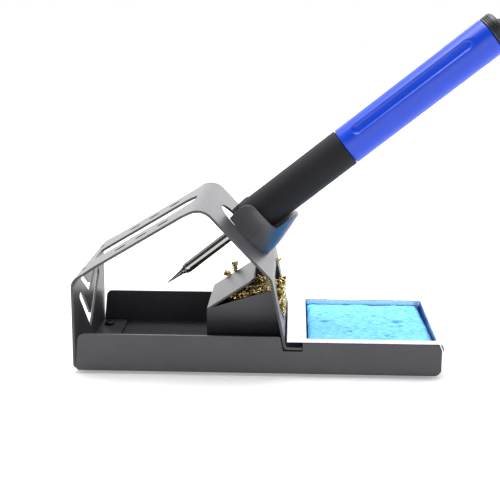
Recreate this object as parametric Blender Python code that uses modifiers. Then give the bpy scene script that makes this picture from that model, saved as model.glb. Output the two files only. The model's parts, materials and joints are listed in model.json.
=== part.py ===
"""Soldering iron station: a bent steel stand that holds a cartridge soldering iron.

A folded base tray carries an arch of bent steel strip. The iron rests in a cup on the arch's
sloped face, with its tip under the arch. A box of brass wool stands in the middle of the tray,
and a pressed steel tray with a wet sponge drops into its right end.

Sizes are in millimetres in the stand's own frame: X to the right with 0 in the middle of the
base tray, Y away from the front, Z up from the underside of the base sheet. Every piece hangs
from the empty "stand", which puts the middle of the whole object's floor plan at the origin.
"""
import math

import bmesh
import bpy
from mathutils import Matrix, Vector

MM = 0.001
WELD = 0.00001
GAP = 0.3

# Steel sheet and overall stand
SHEET = 1.2
DEPTH = 74.0
HALF_DEPTH = DEPTH / 2
FOOT_PAD_HEIGHT = 0.7
FOOT_PAD_RADIUS = 5.0
FOOT_PAD_X = 70.0
FOOT_PAD_Y = 28.0

# Base tray
BASE_LEFT = -87.5
BASE_RIGHT = 87.4
FLANGE_TOP = 18.9
FLANGE_TOP_RIGHT = 16.1
FLANGE_TAPER = 1.5
BASE_CHAMFER = 2.6
BASE_FOLD = 3.4
BASE_FOLD_TOP = 2.2
NOTCH_BOTTOM = 11.8
NOTCH_RIGHT = 21.6

# Arch strip: its outer line in side view, as (x, z, bend radius)
ARCH_FOOT_END = -74.5
ARCH_FOOT_HALF_WIDTH = 35.3
ARCH_LINE = [
    (ARCH_FOOT_END, SHEET + GAP, 0),
    (-89.0, SHEET + GAP, 2.0),
    (-88.4, 45.3, 6.0),
    (-26.2, 82.3, 9.0),
    (6.85, 47.1, 4.0),
    (13.75, 13.8, 1.0),
    (21.3, 13.8, 0),
]
RUN_START = (-85.9, 46.8)
RUN_ANGLE = math.radians(30.75)
ARCH_SCREW_X = -83.3
ARCH_SCREW_Y = 25.8
ARCH_SCREW_HOLE = 1.7
SIDE_SLOT_Y = 22.5
SIDE_SLOT_WIDTH = 4.0
SIDE_SLOTS = ((0.2, 4.4), (22, 6.5), (34, 6.5), (46.5, 6.5))
CHEVRON_APEX_RADIUS = 0.8
CHEVRON_END_RADIUS = 1.9

# Sloped plate: the iron's axis crosses its outer face at PLATE_POINT
PLATE_POINT = (-9.3, 64.3)
PLATE_ANGLE = math.radians(43.1)
PLATE_HOLE_RADIUS = 11.5
PLATE_HOLE_RISE = 3.0

# Holder cup, measured out from the plate and up its slope
CUP_WALL = 1.5
CUP_TOP = 8.3
CUP_RIM = 13.3
CUP_RIM_LOW = -11.0
CUP_REACH = 25.2
CUP_REACH_LOW = -13.2
CUP_BOTTOM = -19.4
CUP_LOBE_RADIUS = 5.0
CUP_HALF_WIDTH = 12.0
CUP_FLARE = 1.7
CUP_TAPER = 2.7
CUP_LEAN = 2.6
CUP_WEB_DEPTH = 4.2
CUP_WEB_TOP = -11.35
CUP_LEVEL = 4.0
CUP_RISE = 4.7
CUP_SCREW_DROP = -14.0
CUP_SCREW_Y = 3.2
CUP_SCREW_HOLE = 1.6
CUP_PILOT_HOLE = 1.4

# Wool box
BOX_SHEET = 1.0
BOX_HALF_WIDTH = 20.5
BOX_LEFT = -25.5
BOX_FLOOR = SHEET + GAP
BOX_WALL_TOP = 27.1
BOX_RIGHT = 11.6
BOX_RIGHT_RISE = 14.7
FLAP_END = (-2.5, 42.7)
NEAR_WALL_CORNER = (6.7, 37.2)
FAR_WALL_CORNER = (6.0, 40.4)
FAR_TAB_LOW = (11.6, 25.6)
FAR_TAB_HIGH = (8.9, 38.4)
FAR_TAB_DEPTH = 2.0
WOOL_HALF_WIDTH = 16.5

# Sponge tray and sponge
TRAY_SHEET = 0.5
TRAY_TOP = FLANGE_TOP_RIGHT + GAP + TRAY_SHEET
TRAY_LEFT = 14.1
TRAY_RIGHT = 88.6
TRAY_LIP_BOTTOM = 12.6
TUB_LEFT = 23.5
TUB_RIGHT = 85.4
TUB_HALF_WIDTH = 32.3
TUB_FLOOR = 3.0
TUB_CORNER = 1.5
SPONGE_TOP = 15.6
SPONGE_CLEARANCE = 0.6
SPONGE_EDGE = 1.2

# Iron: distances along its axis from PLATE_POINT, up towards the cable end
IRON_ANGLE = math.radians(38.3)
TIP_END = -48.5
TUBE_RADIUS = 2.75
TUBE_BORE = 2.3
TUBE_FRONT = -36.0
TUBE_REAR = 54.0
TIP_SHANK = 2.0
TIP_SHANK_REAR = -29.6
HEATER_RADIUS = 1.9
HEATER_REAR = -8.0
CARTRIDGE_REAR = 98.0
INSULATOR_RADIUS = 2.7
RING_SEAT = 2.0
CONTACT_RINGS = (("contact_ring_rear", 84.0, 92.0), ("contact_ring_front", 66.0, 74.0))
GRIP_RADIUS = 9.65
GRIP_FRONT = 4.6
GRIP_REAR = 64.7
GRIP_CORNER = 2.4
HANDLE_FRONT = 65.0
HANDLE_REAR = 150.0
HANDLE_BORE = 7.6
BARREL_RADIUS = 6.5
BARREL_REAR = 74.0
BORE_RADIUS = 3.1
FLUTE_RADIUS = 3.0
FLUTE_DEPTH = 0.8
FLUTE_FRONT = 74.5
FLUTE_REAR = 138.0
CONTACT_FRONT = 79.0
CONTACT_REAR = 104.0
CONTACT_RADIUS = 7.2
LEAF_SHEET = 0.3
LEAF_WIDTH = 1.8
LEAF_RISE = 4.0
CONTACT_LEAVES = ((90, 88.0), (210, 96.5), (330, 84.8))
BOARD_THICKNESS = 1.2
BOARD_HALF_WIDTH = 5.5
SWITCH_RADIUS = 2.2
CAP_FRONT = 143.0
CAP_REAR = 156.0
CAP_WALL = 2.0
INLET_BORE = 2.1
INLET_NECK = 3.3
INLET_FLANGE = 5.0
INLET_REAR = 161.0

ROUND_STEPS = 32
SMALL_STEPS = 16
ARC_STEP = math.radians(20)

# Side view: local x is X, local y is Z, and the outline is extruded along Y.
SIDE = Matrix.Rotation(math.pi / 2, 4, "X")
# End view: local x is Y, local y is Z, and the outline is extruded along X.
END = Matrix(((0, 0, 1, 0), (1, 0, 0, 0), (0, 1, 0, 0), (0, 0, 0, 1)))


def clear_scene():
    for item in list(bpy.data.objects):
        bpy.data.objects.remove(item, do_unlink=True)


def make_collection(name):
    collection = bpy.data.collections.new(name)
    bpy.context.scene.collection.children.link(collection)
    return collection


def make_empty(name, parent, location=(0, 0, 0), rotation=(0, 0, 0)):
    empty = bpy.data.objects.new(name, None)
    PARTS.objects.link(empty)
    empty.parent = parent
    empty.location = Vector(location) * MM
    empty.rotation_euler = rotation
    return empty


def make_material(name, colour, roughness, metallic=0.0):
    material = bpy.data.materials.new(name)
    material.use_nodes = True
    shader = material.node_tree.nodes["Principled BSDF"]
    shader.inputs["Base Color"].default_value = (*colour, 1.0)
    shader.inputs["Roughness"].default_value = roughness
    shader.inputs["Metallic"].default_value = metallic
    return material


def add_mesh(name, mesh, parent, place=Matrix()):
    item = bpy.data.objects.new(name, mesh)
    PARTS.objects.link(item)
    item.parent = parent
    item.matrix_local = place
    return item


def paint(item, material):
    item.data.materials.append(material)
    return item


def combine(target, other, operation):
    """Cut, join or intersect target with other, which becomes a guide that is never drawn."""
    PARTS.objects.unlink(other)
    CUTTERS.objects.link(other)
    other.hide_render = True
    other.display_type = "WIRE"
    boolean = target.modifiers.new(other.name, "BOOLEAN")
    boolean.operation = operation
    boolean.solver = "EXACT"
    boolean.object = other


def cut(target, other):
    combine(target, other, "DIFFERENCE")


def join(target, other):
    combine(target, other, "UNION")


def trim(target, other):
    combine(target, other, "INTERSECT")


def rounded(corners, closed=True):
    """Corners as (x, y, radius); a corner with a radius becomes an arc."""
    points = []
    last = len(corners) - 1
    for index, (x, y, radius) in enumerate(corners):
        corner = Vector((x, y))
        if radius == 0 or (not closed and index in (0, last)):
            points.append(corner)
            continue
        back = (Vector(corners[index - 1][:2]) - corner).normalized()
        ahead = (Vector(corners[(index + 1) % len(corners)][:2]) - corner).normalized()
        half = back.angle(ahead) / 2
        centre = corner + (back + ahead).normalized() * (radius / math.sin(half))
        arm = corner + back * (radius / math.tan(half)) - centre
        turn = math.pi - 2 * half
        if back.cross(ahead) > 0:
            turn = -turn
        steps = max(2, round(abs(turn) / ARC_STEP))
        for step in range(steps + 1):
            angle = turn * step / steps
            points.append(centre + Matrix.Rotation(angle, 2) @ arm)
    return points


def offset_right(corners, distance):
    """The same open line moved to its right, with its bends kept concentric."""
    moved = []
    last = len(corners) - 1
    for index, (x, y, radius) in enumerate(corners):
        corner = Vector((x, y))
        before = corner - Vector(corners[max(index - 1, 0)][:2])
        after = Vector(corners[min(index + 1, last)][:2]) - corner
        before = (before if index > 0 else after).normalized()
        after = (after if index < last else before).normalized()
        right_before = Vector((before.y, -before.x))
        right_after = Vector((after.y, -after.x))
        shift = (right_before + right_after) / (1 + right_before.dot(right_after))
        if radius:
            radius += distance if before.cross(after) > 0 else -distance
        moved.append((*(corner + shift * distance), radius))
    return moved


def flat_solid(name, outlines, thickness, parent, place=Matrix(), z=0.0):
    """Closed outlines of (x, y) points, filled and extruded evenly about local z."""
    curve = bpy.data.curves.new(name, "CURVE")
    curve.dimensions = "2D"
    curve.fill_mode = "BOTH"
    curve.extrude = thickness / 2 * MM
    for outline in outlines:
        spline = curve.splines.new("POLY")
        spline.points.add(len(outline) - 1)
        for point, (x, y) in zip(spline.points, outline):
            point.co = (x * MM, y * MM, 0, 1)
        spline.use_cyclic_u = True
    drawn = bpy.data.objects.new(name, curve)
    bpy.context.scene.collection.objects.link(drawn)
    bpy.context.view_layer.update()
    graph = bpy.context.evaluated_depsgraph_get()
    mesh = bpy.data.meshes.new_from_object(drawn.evaluated_get(graph))
    bpy.data.objects.remove(drawn, do_unlink=True)
    mesh.name = name
    body = bmesh.new()
    body.from_mesh(mesh)
    bmesh.ops.remove_doubles(body, verts=body.verts, dist=WELD)
    bmesh.ops.dissolve_limit(body, angle_limit=0.001, verts=body.verts, edges=body.edges)
    bmesh.ops.recalc_face_normals(body, faces=body.faces)
    body.to_mesh(mesh)
    body.free()
    return add_mesh(name, mesh, parent, place @ Matrix.Translation((0, 0, z * MM)))


def bent_sheet(name, line, sheet, width, parent, place=SIDE):
    """A folded strip: its outer line, thickened to the right and extruded to its width."""
    outer = rounded(line, closed=False)
    inner = rounded(offset_right(line, sheet), closed=False)
    return flat_solid(name, [outer + inner[::-1]], width, parent, place)


def box(name, low, high, parent, place=Matrix(), bevel=0.0):
    mesh = bpy.data.meshes.new(name)
    low = Vector(low) * MM
    high = Vector(high) * MM
    body = bmesh.new()
    bmesh.ops.create_cube(body, size=1.0)
    bmesh.ops.scale(body, vec=high - low, verts=body.verts)
    bmesh.ops.translate(body, vec=(low + high) / 2, verts=body.verts)
    body.to_mesh(mesh)
    body.free()
    item = add_mesh(name, mesh, parent, place)
    if bevel:
        rounding = item.modifiers.new("rounding", "BEVEL")
        rounding.width = bevel * MM
        rounding.segments = 2
    return item


def turned(name, profile, parent, place=Matrix(), closed=False, steps=ROUND_STEPS):
    """A profile of (radius, height), run down its outer side, turned about local Z."""
    mesh = bpy.data.meshes.new(name)
    points = [(radius * MM, 0, height * MM) for radius, height in profile]
    edges = [(index, index + 1) for index in range(len(points) - 1)]
    if closed:
        edges.append((len(points) - 1, 0))
    mesh.from_pydata(points, edges, [])
    item = add_mesh(name, mesh, parent, place)
    screw = item.modifiers.new("turn", "SCREW")
    screw.axis = "Z"
    screw.steps = steps
    screw.render_steps = steps
    screw.use_merge_vertices = True
    screw.merge_threshold = WELD
    return item


def rod(name, radius, low, high, parent, place=Matrix(), steps=SMALL_STEPS):
    profile = [(0, high), (radius, high), (radius, low), (0, low)]
    return turned(name, profile, parent, place, steps=steps)


def tube(name, inner, outer, low, high, parent, place=Matrix(), steps=ROUND_STEPS):
    profile = [(inner, high), (outer, high), (outer, low), (inner, low)]
    return turned(name, profile, parent, place, closed=True, steps=steps)


def loft(name, sections, parent, place):
    """A closed body through matching loops of points, with a flat cap at each end."""
    body = bmesh.new()
    rings = [[body.verts.new(Vector(point) * MM) for point in section] for section in sections]
    for near, far in zip(rings, rings[1:]):
        for index in range(len(near)):
            after = (index + 1) % len(near)
            body.faces.new((near[index], near[after], far[after], far[index]))
    body.faces.new(rings[0][::-1])
    body.faces.new(rings[-1])
    bmesh.ops.recalc_face_normals(body, faces=body.faces)
    mesh = bpy.data.meshes.new(name)
    body.to_mesh(mesh)
    body.free()
    return add_mesh(name, mesh, parent, place)


# ---------------------------------------------------------------- base tray and feet

def make_base_tray(stand, steel):
    channel = [
        (HALF_DEPTH, FLANGE_TOP, 0),
        (HALF_DEPTH, 0, 1.6),
        (-HALF_DEPTH, 0, 1.6),
        (-HALF_DEPTH, FLANGE_TOP, 0),
    ]
    tray = bent_sheet("base_tray", channel, SHEET, 2 * BASE_RIGHT + 2, stand, END)
    inside = HALF_DEPTH - SHEET
    wall_left = BASE_RIGHT - SHEET
    fold_left = BASE_RIGHT - BASE_FOLD
    wall = [
        (fold_left, 0.4), (BASE_RIGHT + 1, 0.4), (BASE_RIGHT + 1, FLANGE_TOP_RIGHT + 1),
        (wall_left, FLANGE_TOP_RIGHT + 1), (wall_left, BASE_FOLD_TOP), (fold_left, BASE_FOLD_TOP),
    ]
    join(tray, flat_solid("base_end_wall", [wall], 2 * inside + 0.8, stand, SIDE))
    side_view = [
        (BASE_LEFT + 1.2, 0, 0),
        (BASE_RIGHT - BASE_CHAMFER, 0, 0),
        (BASE_RIGHT, BASE_CHAMFER, 0),
        (BASE_RIGHT, FLANGE_TOP_RIGHT, 3.5),
        (NOTCH_RIGHT, FLANGE_TOP_RIGHT, 0.6),
        (NOTCH_RIGHT, NOTCH_BOTTOM, 0.6),
        (12.2, NOTCH_BOTTOM, 0.6),
        (10.85, FLANGE_TOP, 0.6),
        (BASE_LEFT + FLANGE_TAPER, FLANGE_TOP, 3.0),
        (BASE_LEFT, 5.0, 0),
        (BASE_LEFT, 1.2, 0),
    ]
    trim(tray, flat_solid("base_side_view", [rounded(side_view)], DEPTH + 6, stand, SIDE))
    for side in (-1, 1):
        place = Matrix.Translation(Vector((ARCH_SCREW_X, side * ARCH_SCREW_Y, 0)) * MM)
        cut(tray, rod(f"base_screw_hole_{side}", ARCH_SCREW_HOLE, -2, 4, stand, place))
    return paint(tray, steel)


def make_foot_pads(stand, rubber):
    number = 0
    for x in (-FOOT_PAD_X, FOOT_PAD_X):
        for y in (-FOOT_PAD_Y, FOOT_PAD_Y):
            number += 1
            place = Matrix.Translation(Vector((x, y, 0)) * MM)
            pad = rod(f"foot_pad_{number}", FOOT_PAD_RADIUS, -GAP - FOOT_PAD_HEIGHT, -GAP,
                      stand, place, steps=24)
            paint(pad, rubber)


# ---------------------------------------------------------------- arch

def run_frame():
    """Local x runs up the arch's long face, local y is Y and local z leaves the face."""
    x, z = RUN_START
    return Matrix.Translation(Vector((x, 0, z)) * MM) @ Matrix.Rotation(-RUN_ANGLE, 4, "Y")


def plate_frame():
    """Local x leaves the sloped plate, local z goes up its slope and local y is Y."""
    x, z = PLATE_POINT
    return Matrix.Translation(Vector((x, 0, z)) * MM) @ Matrix.Rotation(-PLATE_ANGLE, 4, "Y")


def plate_normal_frame(rise, y):
    """Local z leaves the sloped plate from a point rise up its slope and y across it."""
    return (plate_frame() @ Matrix.Translation(Vector((0, y, rise)) * MM)
            @ Matrix.Rotation(math.pi / 2, 4, "Y"))


def slot_outline(x, y, length, width):
    half_length = length / 2
    half_width = width / 2
    radius = half_width * 0.98
    return rounded([
        (x - half_length, y - half_width, radius),
        (x + half_length, y - half_width, radius),
        (x + half_length, y + half_width, radius),
        (x - half_length, y + half_width, radius),
    ])


def chevron_outline(low, high, end_low, end_high):
    """A V of even arms: low and high are its two apex heights, the rest one arm's end."""
    apex = CHEVRON_APEX_RADIUS
    end = CHEVRON_END_RADIUS
    return rounded([
        (0, low, apex),
        (*end_low, end),
        (*end_high, end),
        (0, high, apex),
        (-end_high[0], end_high[1], end),
        (-end_low[0], end_low[1], end),
    ])


def cut_run(arch, stand):
    long_slot = rounded([
        (4, -10, 2), (56, -10, 7), (63, -4.5, 4), (63, 4.5, 4), (56, 10, 7), (4, 10, 2),
    ])
    outlines = [long_slot]
    for side in (-1, 1):
        for along, length in SIDE_SLOTS:
            outlines.append(slot_outline(along, side * SIDE_SLOT_Y, length, SIDE_SLOT_WIDTH))
    cut(arch, flat_solid("run_slots", outlines, 9, stand, run_frame()))
    waists = []
    for side in (-1, 1):
        waists.append(rounded([
            (3, side * 37.5, 0), (9, side * 34, 5), (58, side * 34, 5),
            (64, side * 37.5, 0), (64, side * 45, 0), (3, side * 45, 0),
        ]))
    cut(arch, flat_solid("run_waists", waists, 12, stand, run_frame()))


def cut_left_leg(arch, stand):
    chevrons = [
        chevron_outline(10.0, 17.3, (24.3, 33.3), (20.7, 37.2)),
        chevron_outline(28.7, 33.7, (20.7, 42.0), (18.4, 45.5)),
    ]
    cut(arch, flat_solid("leg_chevrons", chevrons, 8, stand, END, z=-88.0))


def cut_right_leg(arch, stand):
    window = rounded([
        (-17, 20, 3), (17, 20, 3), (25, 31, 4), (25, 36, 4),
        (16, 42.5, 3), (-16, 42.5, 3), (-25, 36, 4), (-25, 31, 4),
    ])
    cut(arch, flat_solid("leg_window", [window], 20, stand, END, z=9.0))


def make_arch(stand, steel):
    arch = bent_sheet("arch_bracket", ARCH_LINE, SHEET, DEPTH, stand)
    for side in (-1, 1):
        low, high = sorted((side * ARCH_FOOT_HALF_WIDTH, side * (HALF_DEPTH + 2)))
        beside_foot = box(f"beside_foot_{side}", (-87.7, low, 0), (-70, high, 6), stand)
        cut(arch, beside_foot)
        place = Matrix.Translation(Vector((ARCH_SCREW_X, side * ARCH_SCREW_Y, 0)) * MM)
        cut(arch, rod(f"arch_screw_hole_{side}", ARCH_SCREW_HOLE, 0, 6, stand, place))
        hole = plate_normal_frame(CUP_SCREW_DROP, side * CUP_SCREW_Y)
        cut(arch, rod(f"cup_screw_hole_{side}", CUP_SCREW_HOLE, -4, 4, stand, hole))
    cut_run(arch, stand)
    cut_left_leg(arch, stand)
    cut_right_leg(arch, stand)
    hole = plate_normal_frame(PLATE_HOLE_RISE, 0)
    cut(arch, rod("plate_hole", PLATE_HOLE_RADIUS, -5, 5, stand, hole, steps=40))
    return paint(arch, steel)


def screw_profile(shank, length, head, head_height):
    """A pan head above z = 0 and a plain shank below it."""
    return [
        (0, head_height), (head * 0.6, head_height), (head, head_height * 0.4), (head, 0),
        (shank, 0), (shank, -length), (0, -length),
    ]


def make_arch_screws(stand, metal):
    top = SHEET + GAP + SHEET + GAP
    for number, side in ((1, -1), (2, 1)):
        place = Matrix.Translation(Vector((ARCH_SCREW_X, side * ARCH_SCREW_Y, top)) * MM)
        profile = screw_profile(1.4, top - 0.1, 2.6, 1.5)
        paint(turned(f"arch_screw_{number}", profile, stand, place, steps=SMALL_STEPS), metal)


# ---------------------------------------------------------------- holder cup

def cup_section(out, inset):
    """One U-shaped slice of the cup at a distance out from the plate, moved in by inset."""
    flare = min(max(out / CUP_RIM, 0), 1)
    half_width = CUP_HALF_WIDTH + CUP_FLARE * flare * flare * (3 - 2 * flare)
    taper = max(out - CUP_RIM, 0) / (CUP_REACH - CUP_RIM)
    half_width -= CUP_TAPER * taper ** 1.6
    half_width -= inset
    slope = max(out - CUP_LEVEL, 0) / (CUP_REACH - CUP_LEVEL)
    bottom = CUP_BOTTOM + CUP_RISE * slope ** 1.3 + inset
    top = CUP_TOP + 0.7 + 3 * inset
    curve = [(half_width, -6.0), (0.85 * half_width, -11.0), (0.4 * half_width, bottom),
             (0.0, bottom)]
    # The lobes lean in towards their tops.
    side = [(half_width - CUP_LEAN * (lift / top) ** 1.7, lift) for lift in (top, 6, 3.5, 0)]
    steps = 8
    for step in range(steps + 1):
        t = step / steps
        weights = ((1 - t) ** 3, 3 * t * (1 - t) ** 2, 3 * t * t * (1 - t), t ** 3)
        side.append((sum(w * p[0] for w, p in zip(weights, curve)),
                     sum(w * p[1] for w, p in zip(weights, curve))))
    mirrored = [(-y, z) for y, z in side[-2::-1]]
    return [(out, y, z) for y, z in side + mirrored]


def cup_body(name, inset, start, end, stand):
    count = 14
    sections = [cup_section(start + (end - start) * step / count, inset)
                for step in range(count + 1)]
    return loft(name, sections, stand, plate_frame())


def make_cup(stand, plastic):
    cup = cup_body("holder_cup", 0.0, GAP, CUP_REACH + 1, stand)
    hollow = cup_body("cup_hollow", CUP_WALL, GAP - 1, CUP_REACH + 2, stand)
    web = box("cup_web", (-3, -20, -30), (GAP + CUP_WEB_DEPTH, 20, CUP_WEB_TOP), stand,
              plate_frame())
    cut(hollow, web)
    cut(cup, hollow)
    side_view = [
        (GAP - 0.1, -24, 0),
        (GAP - 0.1, CUP_TOP, 0.8),
        (CUP_RIM, CUP_TOP, CUP_LOBE_RADIUS),
        (CUP_RIM, CUP_RIM_LOW, 1.0),
        (CUP_REACH, CUP_REACH_LOW, 0.8),
        (CUP_REACH, -24, 0),
    ]
    trim(cup, flat_solid("cup_side_view", [rounded(side_view)[::-1]], 40, stand,
                         plate_frame() @ SIDE))
    for side in (-1, 1):
        hole = plate_normal_frame(CUP_SCREW_DROP, side * CUP_SCREW_Y)
        cut(cup, rod(f"cup_pilot_hole_{side}", CUP_PILOT_HOLE, -1, 3.9, stand, hole))
    return paint(cup, plastic)


def make_cup_screws(stand, metal):
    for number, side in ((1, -1), (2, 1)):
        head_seat = Matrix.Translation((0, 0, (-SHEET - GAP) * MM)) @ Matrix.Rotation(
            math.pi, 4, "X")
        place = plate_normal_frame(CUP_SCREW_DROP, side * CUP_SCREW_Y) @ head_seat
        profile = screw_profile(1.1, SHEET + GAP + 3.5, 2.2, 1.4)
        paint(turned(f"cup_screw_{number}", profile, stand, place, steps=SMALL_STEPS), metal)


# ---------------------------------------------------------------- wool box

def make_wool_box(box_slide, steel):
    floor = BOX_FLOOR
    fold = [
        (BOX_RIGHT - 0.2, floor, 0),
        (BOX_LEFT, floor, 1.4),
        (BOX_LEFT, BOX_WALL_TOP + 0.3, 1.2),
        (*FLAP_END, 0),
    ]
    wool_box = bent_sheet("wool_box", fold, BOX_SHEET, 2 * BOX_HALF_WIDTH, box_slide)
    right_edge = [(BOX_LEFT, floor, 1.0), (BOX_RIGHT, floor, 0), (BOX_RIGHT, BOX_RIGHT_RISE, 0)]
    near = right_edge + [(*NEAR_WALL_CORNER, 1.0), (BOX_LEFT, BOX_WALL_TOP, 0)]
    # The far wall has a tab that reaches through the arch's window.
    far = right_edge + [
        (FAR_TAB_LOW[0] - FAR_TAB_DEPTH, FAR_TAB_LOW[1], 0), (*FAR_TAB_LOW, 0.6),
        (*FAR_TAB_HIGH, 0.8), (FAR_TAB_HIGH[0] - FAR_TAB_DEPTH, FAR_TAB_HIGH[1], 0),
        (*FAR_WALL_CORNER, 0.6), (FLAP_END[0] - 0.3, FLAP_END[1] - 0.7, 0),
        (BOX_LEFT + 0.3, BOX_WALL_TOP, 0),
    ]
    middle = BOX_HALF_WIDTH - BOX_SHEET / 2
    join(wool_box, flat_solid("wool_box_near", [rounded(near)], BOX_SHEET, box_slide, SIDE,
                              z=middle))
    join(wool_box, flat_solid("wool_box_far", [rounded(far)], BOX_SHEET, box_slide, SIDE,
                              z=-middle))
    return paint(wool_box, steel)


def make_wool(box_slide, brass):
    heap = [
        (-23.8, 3.2, 0), (9.4, 3.2, 0), (9.9, 20.8, 0), (12.6, 21.6, 1), (13.6, 25.5, 2),
        (13.2, 30, 2), (10.6, 34.6, 2), (5.0, 38.6, 2), (-1.4, 38.8, 1), (-23.8, 25.4, 1),
    ]
    wool = flat_solid("brass_wool", [rounded(heap)], 2 * WOOL_HALF_WIDTH, box_slide, SIDE)
    return paint(wool, brass)


# ---------------------------------------------------------------- sponge tray

def tub_outline(grow):
    left, right, half_width = TUB_LEFT - grow, TUB_RIGHT + grow, TUB_HALF_WIDTH + grow
    corner = TUB_CORNER + grow
    return rounded([
        (left, -half_width, corner), (right, -half_width, corner),
        (right, half_width, corner), (left, half_width, corner),
    ])


def make_sponge_tray(tray_lift, steel):
    rim = [
        (TRAY_RIGHT, TRAY_LIP_BOTTOM, 0),
        (TRAY_RIGHT, TRAY_TOP, 2.6),
        (TRAY_LEFT, TRAY_TOP, 0),
    ]
    tray = bent_sheet("sponge_tray", rim, -TRAY_SHEET, DEPTH, tray_lift)
    outside = tub_outline(TRAY_SHEET)
    inside = tub_outline(0)
    tub_bottom = TUB_FLOOR - TRAY_SHEET
    tub_top = TRAY_TOP - TRAY_SHEET / 2
    join(tray, flat_solid("tub_outside", [outside], tub_top - tub_bottom, tray_lift,
                          z=(tub_top + tub_bottom) / 2))
    cut(tray, flat_solid("tub_inside", [inside], 20, tray_lift, z=TUB_FLOOR + 10))
    return paint(tray, steel)


def make_sponge(sponge_lift, cellulose):
    inset = SPONGE_CLEARANCE
    sponge = box("sponge",
                 (TUB_LEFT + inset, -TUB_HALF_WIDTH + inset, TUB_FLOOR + GAP),
                 (TUB_RIGHT - inset, TUB_HALF_WIDTH - inset, SPONGE_TOP),
                 sponge_lift, bevel=SPONGE_EDGE)
    return paint(sponge, cellulose)


# ---------------------------------------------------------------- iron: heated cartridge

def make_cartridge(axis, metals):
    tip = [
        (0, TIP_SHANK_REAR), (TIP_SHANK, TIP_SHANK_REAR), (TIP_SHANK, TUBE_FRONT - 0.1),
        (2.7, TUBE_FRONT - GAP), (TIP_SHANK, -37.2), (1.9, -38.0), (1.25, -38.3),
        (0.22, TIP_END + 0.3), (0, TIP_END),
    ]
    paint(turned("solder_tip", tip, axis, steps=24), metals["tip"])
    paint(tube("cartridge_tube", TUBE_BORE, TUBE_RADIUS, TUBE_FRONT, TUBE_REAR, axis, steps=24),
          metals["polished"])
    paint(rod("heater_core", HEATER_RADIUS, TIP_SHANK_REAR + 0.4, HEATER_REAR, axis),
          metals["ceramic"])
    wide = INSULATOR_RADIUS
    insulator = [(0, CARTRIDGE_REAR), (2.4, CARTRIDGE_REAR), (wide, CARTRIDGE_REAR - 0.6)]
    for name, low, high in CONTACT_RINGS:
        paint(tube(name, TUBE_BORE, TUBE_RADIUS, low, high, axis, steps=SMALL_STEPS),
              metals["brass"])
        insulator += [(wide, high + GAP), (RING_SEAT, high + GAP), (RING_SEAT, low - GAP),
                      (wide, low - GAP)]
    insulator += [(wide, TUBE_REAR + GAP), (0, TUBE_REAR + GAP)]
    paint(turned("cartridge_insulator", insulator, axis, steps=SMALL_STEPS),
          metals["ceramic"])


# ---------------------------------------------------------------- iron: handle

def make_grip(axis, foam, plastic):
    nose = [
        (BORE_RADIUS, 4.2), (6.3, 4.2), (6.6, 3.6), (6.6, 2.4), (5.2, 0.8), (BORE_RADIUS, 0.8),
    ]
    paint(turned("nose_collar", nose, axis, closed=True), plastic)
    barrel = [
        (BORE_RADIUS, BARREL_REAR), (BARREL_RADIUS, BARREL_REAR),
        (BARREL_RADIUS, 4.5), (BORE_RADIUS, 4.5),
    ]
    paint(turned("inner_barrel", barrel, axis, closed=True, steps=24), plastic)
    sleeve = [(BARREL_RADIUS + GAP, GRIP_REAR), (GRIP_RADIUS, GRIP_REAR)]
    for step in range(5):
        angle = math.pi / 2 * step / 4
        sleeve.append((GRIP_RADIUS - GRIP_CORNER * (1 - math.cos(angle)),
                       GRIP_FRONT + GRIP_CORNER * (1 - math.sin(angle))))
    sleeve.append((BARREL_RADIUS + GAP, GRIP_FRONT))
    paint(turned("foam_grip", sleeve, axis, closed=True), foam)


def capsule_profile(radius, low, high):
    upper = []
    for step in range(5):
        angle = math.pi / 2 * step / 4
        upper.append((radius * math.sin(angle), high + radius * math.cos(angle)))
    lower = [(r, low + high - h) for r, h in upper[::-1]]
    return upper + lower


def make_handle_shell(axis, plastic):
    profile = [
        (HANDLE_BORE, HANDLE_REAR), (GRIP_RADIUS, HANDLE_REAR), (GRIP_RADIUS, HANDLE_FRONT),
        (BARREL_RADIUS + GAP, HANDLE_FRONT), (BARREL_RADIUS + GAP, BARREL_REAR + 1),
        (HANDLE_BORE, BARREL_REAR + 1),
    ]
    shell = turned("handle_shell", profile, axis, closed=True)
    distance = GRIP_RADIUS + FLUTE_RADIUS - FLUTE_DEPTH
    capsule = capsule_profile(FLUTE_RADIUS, FLUTE_FRONT, FLUTE_REAR)
    for number, degrees in enumerate((0, 120, 240)):
        angle = math.radians(degrees)
        place = Matrix.Translation(
            Vector((distance * math.cos(angle), distance * math.sin(angle), 0)) * MM)
        cut(shell, turned(f"flute_{number}", capsule, axis, place, steps=24))
    return paint(shell, plastic)


def make_contacts(axis, plastic, bronze):
    block = tube("contact_block", 4.7, CONTACT_RADIUS, CONTACT_FRONT, CONTACT_REAR, axis,
                 steps=24)
    front_wall = tube("contact_block_front", BORE_RADIUS, CONTACT_RADIUS - 1.2, CONTACT_FRONT,
                      CONTACT_FRONT + 2, axis, steps=24)
    join(block, front_wall)
    paint(block, plastic)
    for number, (angle, contact) in enumerate(CONTACT_LEAVES, start=1):
        leaf = [
            (CONTACT_REAR - 0.5, LEAF_RISE, 0), (contact + 4, LEAF_RISE, 1.0),
            (contact, BORE_RADIUS, 1.0), (contact - 3.4, LEAF_RISE - 0.1, 0),
        ]
        around = Matrix.Rotation(math.radians(angle), 4, "Z")
        # Local x of the leaf's outline lies along the iron, local y points away from its axis.
        along = Matrix(((0, 1, 0, 0), (0, 0, 1, 0), (1, 0, 0, 0), (0, 0, 0, 1)))
        spring = bent_sheet(f"contact_spring_{number}", leaf, LEAF_SHEET, LEAF_WIDTH, axis,
                            around @ along)
        paint(spring, bronze)


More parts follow.
